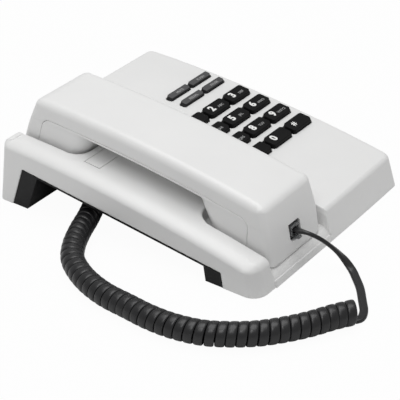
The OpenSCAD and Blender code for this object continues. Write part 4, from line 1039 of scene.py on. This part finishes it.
def add_cord():
    """The front tail from the handset's plug, and the coil with the rear tail, which ride the base."""
    coil, coil_flat = coil_path()
    front, _ = smooth_route(FRONT_ROUTE, TAIL_STEP)
    front_flat = unit(np.cross(unit(np.gradient(front, axis=0)), (0, 0, 1.0)))
    along = np.arange(len(front)) / len(front)
    twist = (ramp(along, *TWIST_IN) * (1 - ramp(along, *TWIST_OUT)))[:, None]
    front_flat = unit(front_flat * (1 - twist) + np.array(TAIL_WIDE) * twist)
    low = 1 - ramp(front[:, 2], *SINK_Z)
    front[:, 2] -= SINK * low * ramp(np.arange(len(front)), *SINK_POINTS)
    rear, _ = smooth_route(REAR_ROUTE, TAIL_STEP)
    rear_flat = unit(np.cross(unit(np.gradient(rear, axis=0)), (0, 0, 1.0)))
    rear_first = coil[-1]
    # the tails lead into the ends of the coil over a short run
    blend = ramp(np.arange(len(rear)), 0, LEAD_POINTS)[:, None]
    rear = rear_first + (rear[0] - rear_first) * blend + (rear - rear[0])
    rear_flat = coil_flat[-1] * (1 - blend) + rear_flat * blend
    rear[:, 2] = np.maximum(rear[:, 2], COIL_W / 2 + REAR_LIFT)
    blend = ramp(np.arange(len(front))[::-1], 0, LEAD_POINTS)[:, None]
    front = front + (coil[0] - front[-1]) * (1 - blend)
    front[:, 2] = np.maximum(front[:, 2], CORD_T / 2 + DESK_GAP)
    tail = sweep("cord_tail", front, front_flat, CORD_W, CORD_T)
    path = np.concatenate([coil, rear[1:]])
    curly = sweep("cord_curl", path, np.concatenate([coil_flat, rear_flat[1:]]), COIL_W, CORD_T)
    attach(curly, "base")
    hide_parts("cord_coil", "cord_rear_tail")
    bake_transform(tail)
    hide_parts("cord_front_tail")


# ---- Stage ----


# Half the floor's side in metres, its grey, and the share of plain white that the camera sees on it
FLOOR_HALF, FLOOR_GREY, FLOOR_WHITE = 3, 0.72, 0.96
AMBIENT = 0.4


def add_stage():
    """A pale floor that turns nearly white for the camera and keeps a soft shadow, and a white surround."""
    mesh = bpy.data.meshes.new("floor")
    corners = [(u * FLOOR_HALF, v * FLOOR_HALF, 0) for u, v in ((-1, -1), (1, -1), (1, 1), (-1, 1))]
    mesh.from_pydata(corners, [], [(0, 1, 2, 3)])
    material = bpy.data.materials.new("floor")
    material.use_nodes = True
    tree = material.node_tree
    shader = tree.nodes["Principled BSDF"]
    shader.inputs["Base Color"].default_value = (FLOOR_GREY, FLOOR_GREY, FLOOR_GREY, 1)
    shader.inputs["Roughness"].default_value = 0.9
    glow = tree.nodes.new("ShaderNodeEmission")
    glow.inputs["Strength"].default_value = 1.0
    share = tree.nodes.new("ShaderNodeMath")
    share.operation = "MULTIPLY"
    share.inputs[1].default_value = FLOOR_WHITE
    seen = tree.nodes.new("ShaderNodeLightPath")
    mix = tree.nodes.new("ShaderNodeMixShader")
    tree.links.new(seen.outputs["Is Camera Ray"], share.inputs[0])
    tree.links.new(share.outputs[0], mix.inputs[0])
    tree.links.new(shader.outputs[0], mix.inputs[1])
    tree.links.new(glow.outputs[0], mix.inputs[2])
    tree.links.new(mix.outputs[0], tree.nodes["Material Output"].inputs["Surface"])
    mesh.materials.append(material)
    floor = bpy.data.objects.new("floor", mesh)
    bpy.context.scene.collection.objects.link(floor)
    world = bpy.data.worlds.new("surround")
    bpy.context.scene.world = world
    world.use_nodes = True
    tree = world.node_tree
    back = tree.nodes["Background"]
    back.inputs["Color"].default_value = (1, 1, 1, 1)
    back.inputs["Strength"].default_value = AMBIENT
    white = tree.nodes.new("ShaderNodeBackground")
    white.inputs["Color"].default_value = (1, 1, 1, 1)
    white.inputs["Strength"].default_value = 1.0
    seen = tree.nodes.new("ShaderNodeLightPath")
    either = tree.nodes.new("ShaderNodeMath")
    either.operation = "MAXIMUM"
    mix = tree.nodes.new("ShaderNodeMixShader")
    tree.links.new(seen.outputs["Is Camera Ray"], either.inputs[0])
    tree.links.new(seen.outputs["Is Transmission Ray"], either.inputs[1])
    tree.links.new(either.outputs[0], mix.inputs[0])
    tree.links.new(back.outputs[0], mix.inputs[1])
    tree.links.new(white.outputs[0], mix.inputs[2])
    tree.links.new(mix.outputs[0], tree.nodes["World Output"].inputs["Surface"])


# A lamp that points down more steeply than this has +X on its right
STEEP = 0.99


def add_lamp(name, at, aim, size, power):
    """A square soft lamp that points at aim."""
    data = bpy.data.lights.new(name, "AREA")
    data.shape = "SQUARE"
    data.size = size
    data.energy = power
    lamp = bpy.data.objects.new(name, data)
    bpy.context.scene.collection.objects.link(lamp)
    back = unit(np.array(at, float) - np.array(aim, float))
    right = unit(np.cross((0, 0, 1.0), back)) if abs(back[2]) < STEEP else np.array([1.0, 0, 0])
    matrix = np.eye(4)
    matrix[:3, 0], matrix[:3, 1], matrix[:3, 2], matrix[:3, 3] = right, np.cross(back, right), back, at
    lamp.matrix_world = Matrix(matrix.tolist())


def add_lights():
    """A broad lamp overhead and a smaller one from the front left.

    Each has its place, aim, size and power.
    """
    add_lamp("top_lamp", (0.1, 0.1, 1.5), (0, 0, 0), 1.2, 12.2)
    add_lamp("left_lamp", (-0.75, -0.25, 1.25), (0, 0, 0.02), 0.5, 3.5)


add_cord()
add_upper_housing()
add_handset()
add_plug()
add_keys()
add_stage()
add_lights()
bpy.context.scene.view_settings.view_transform = "Standard"
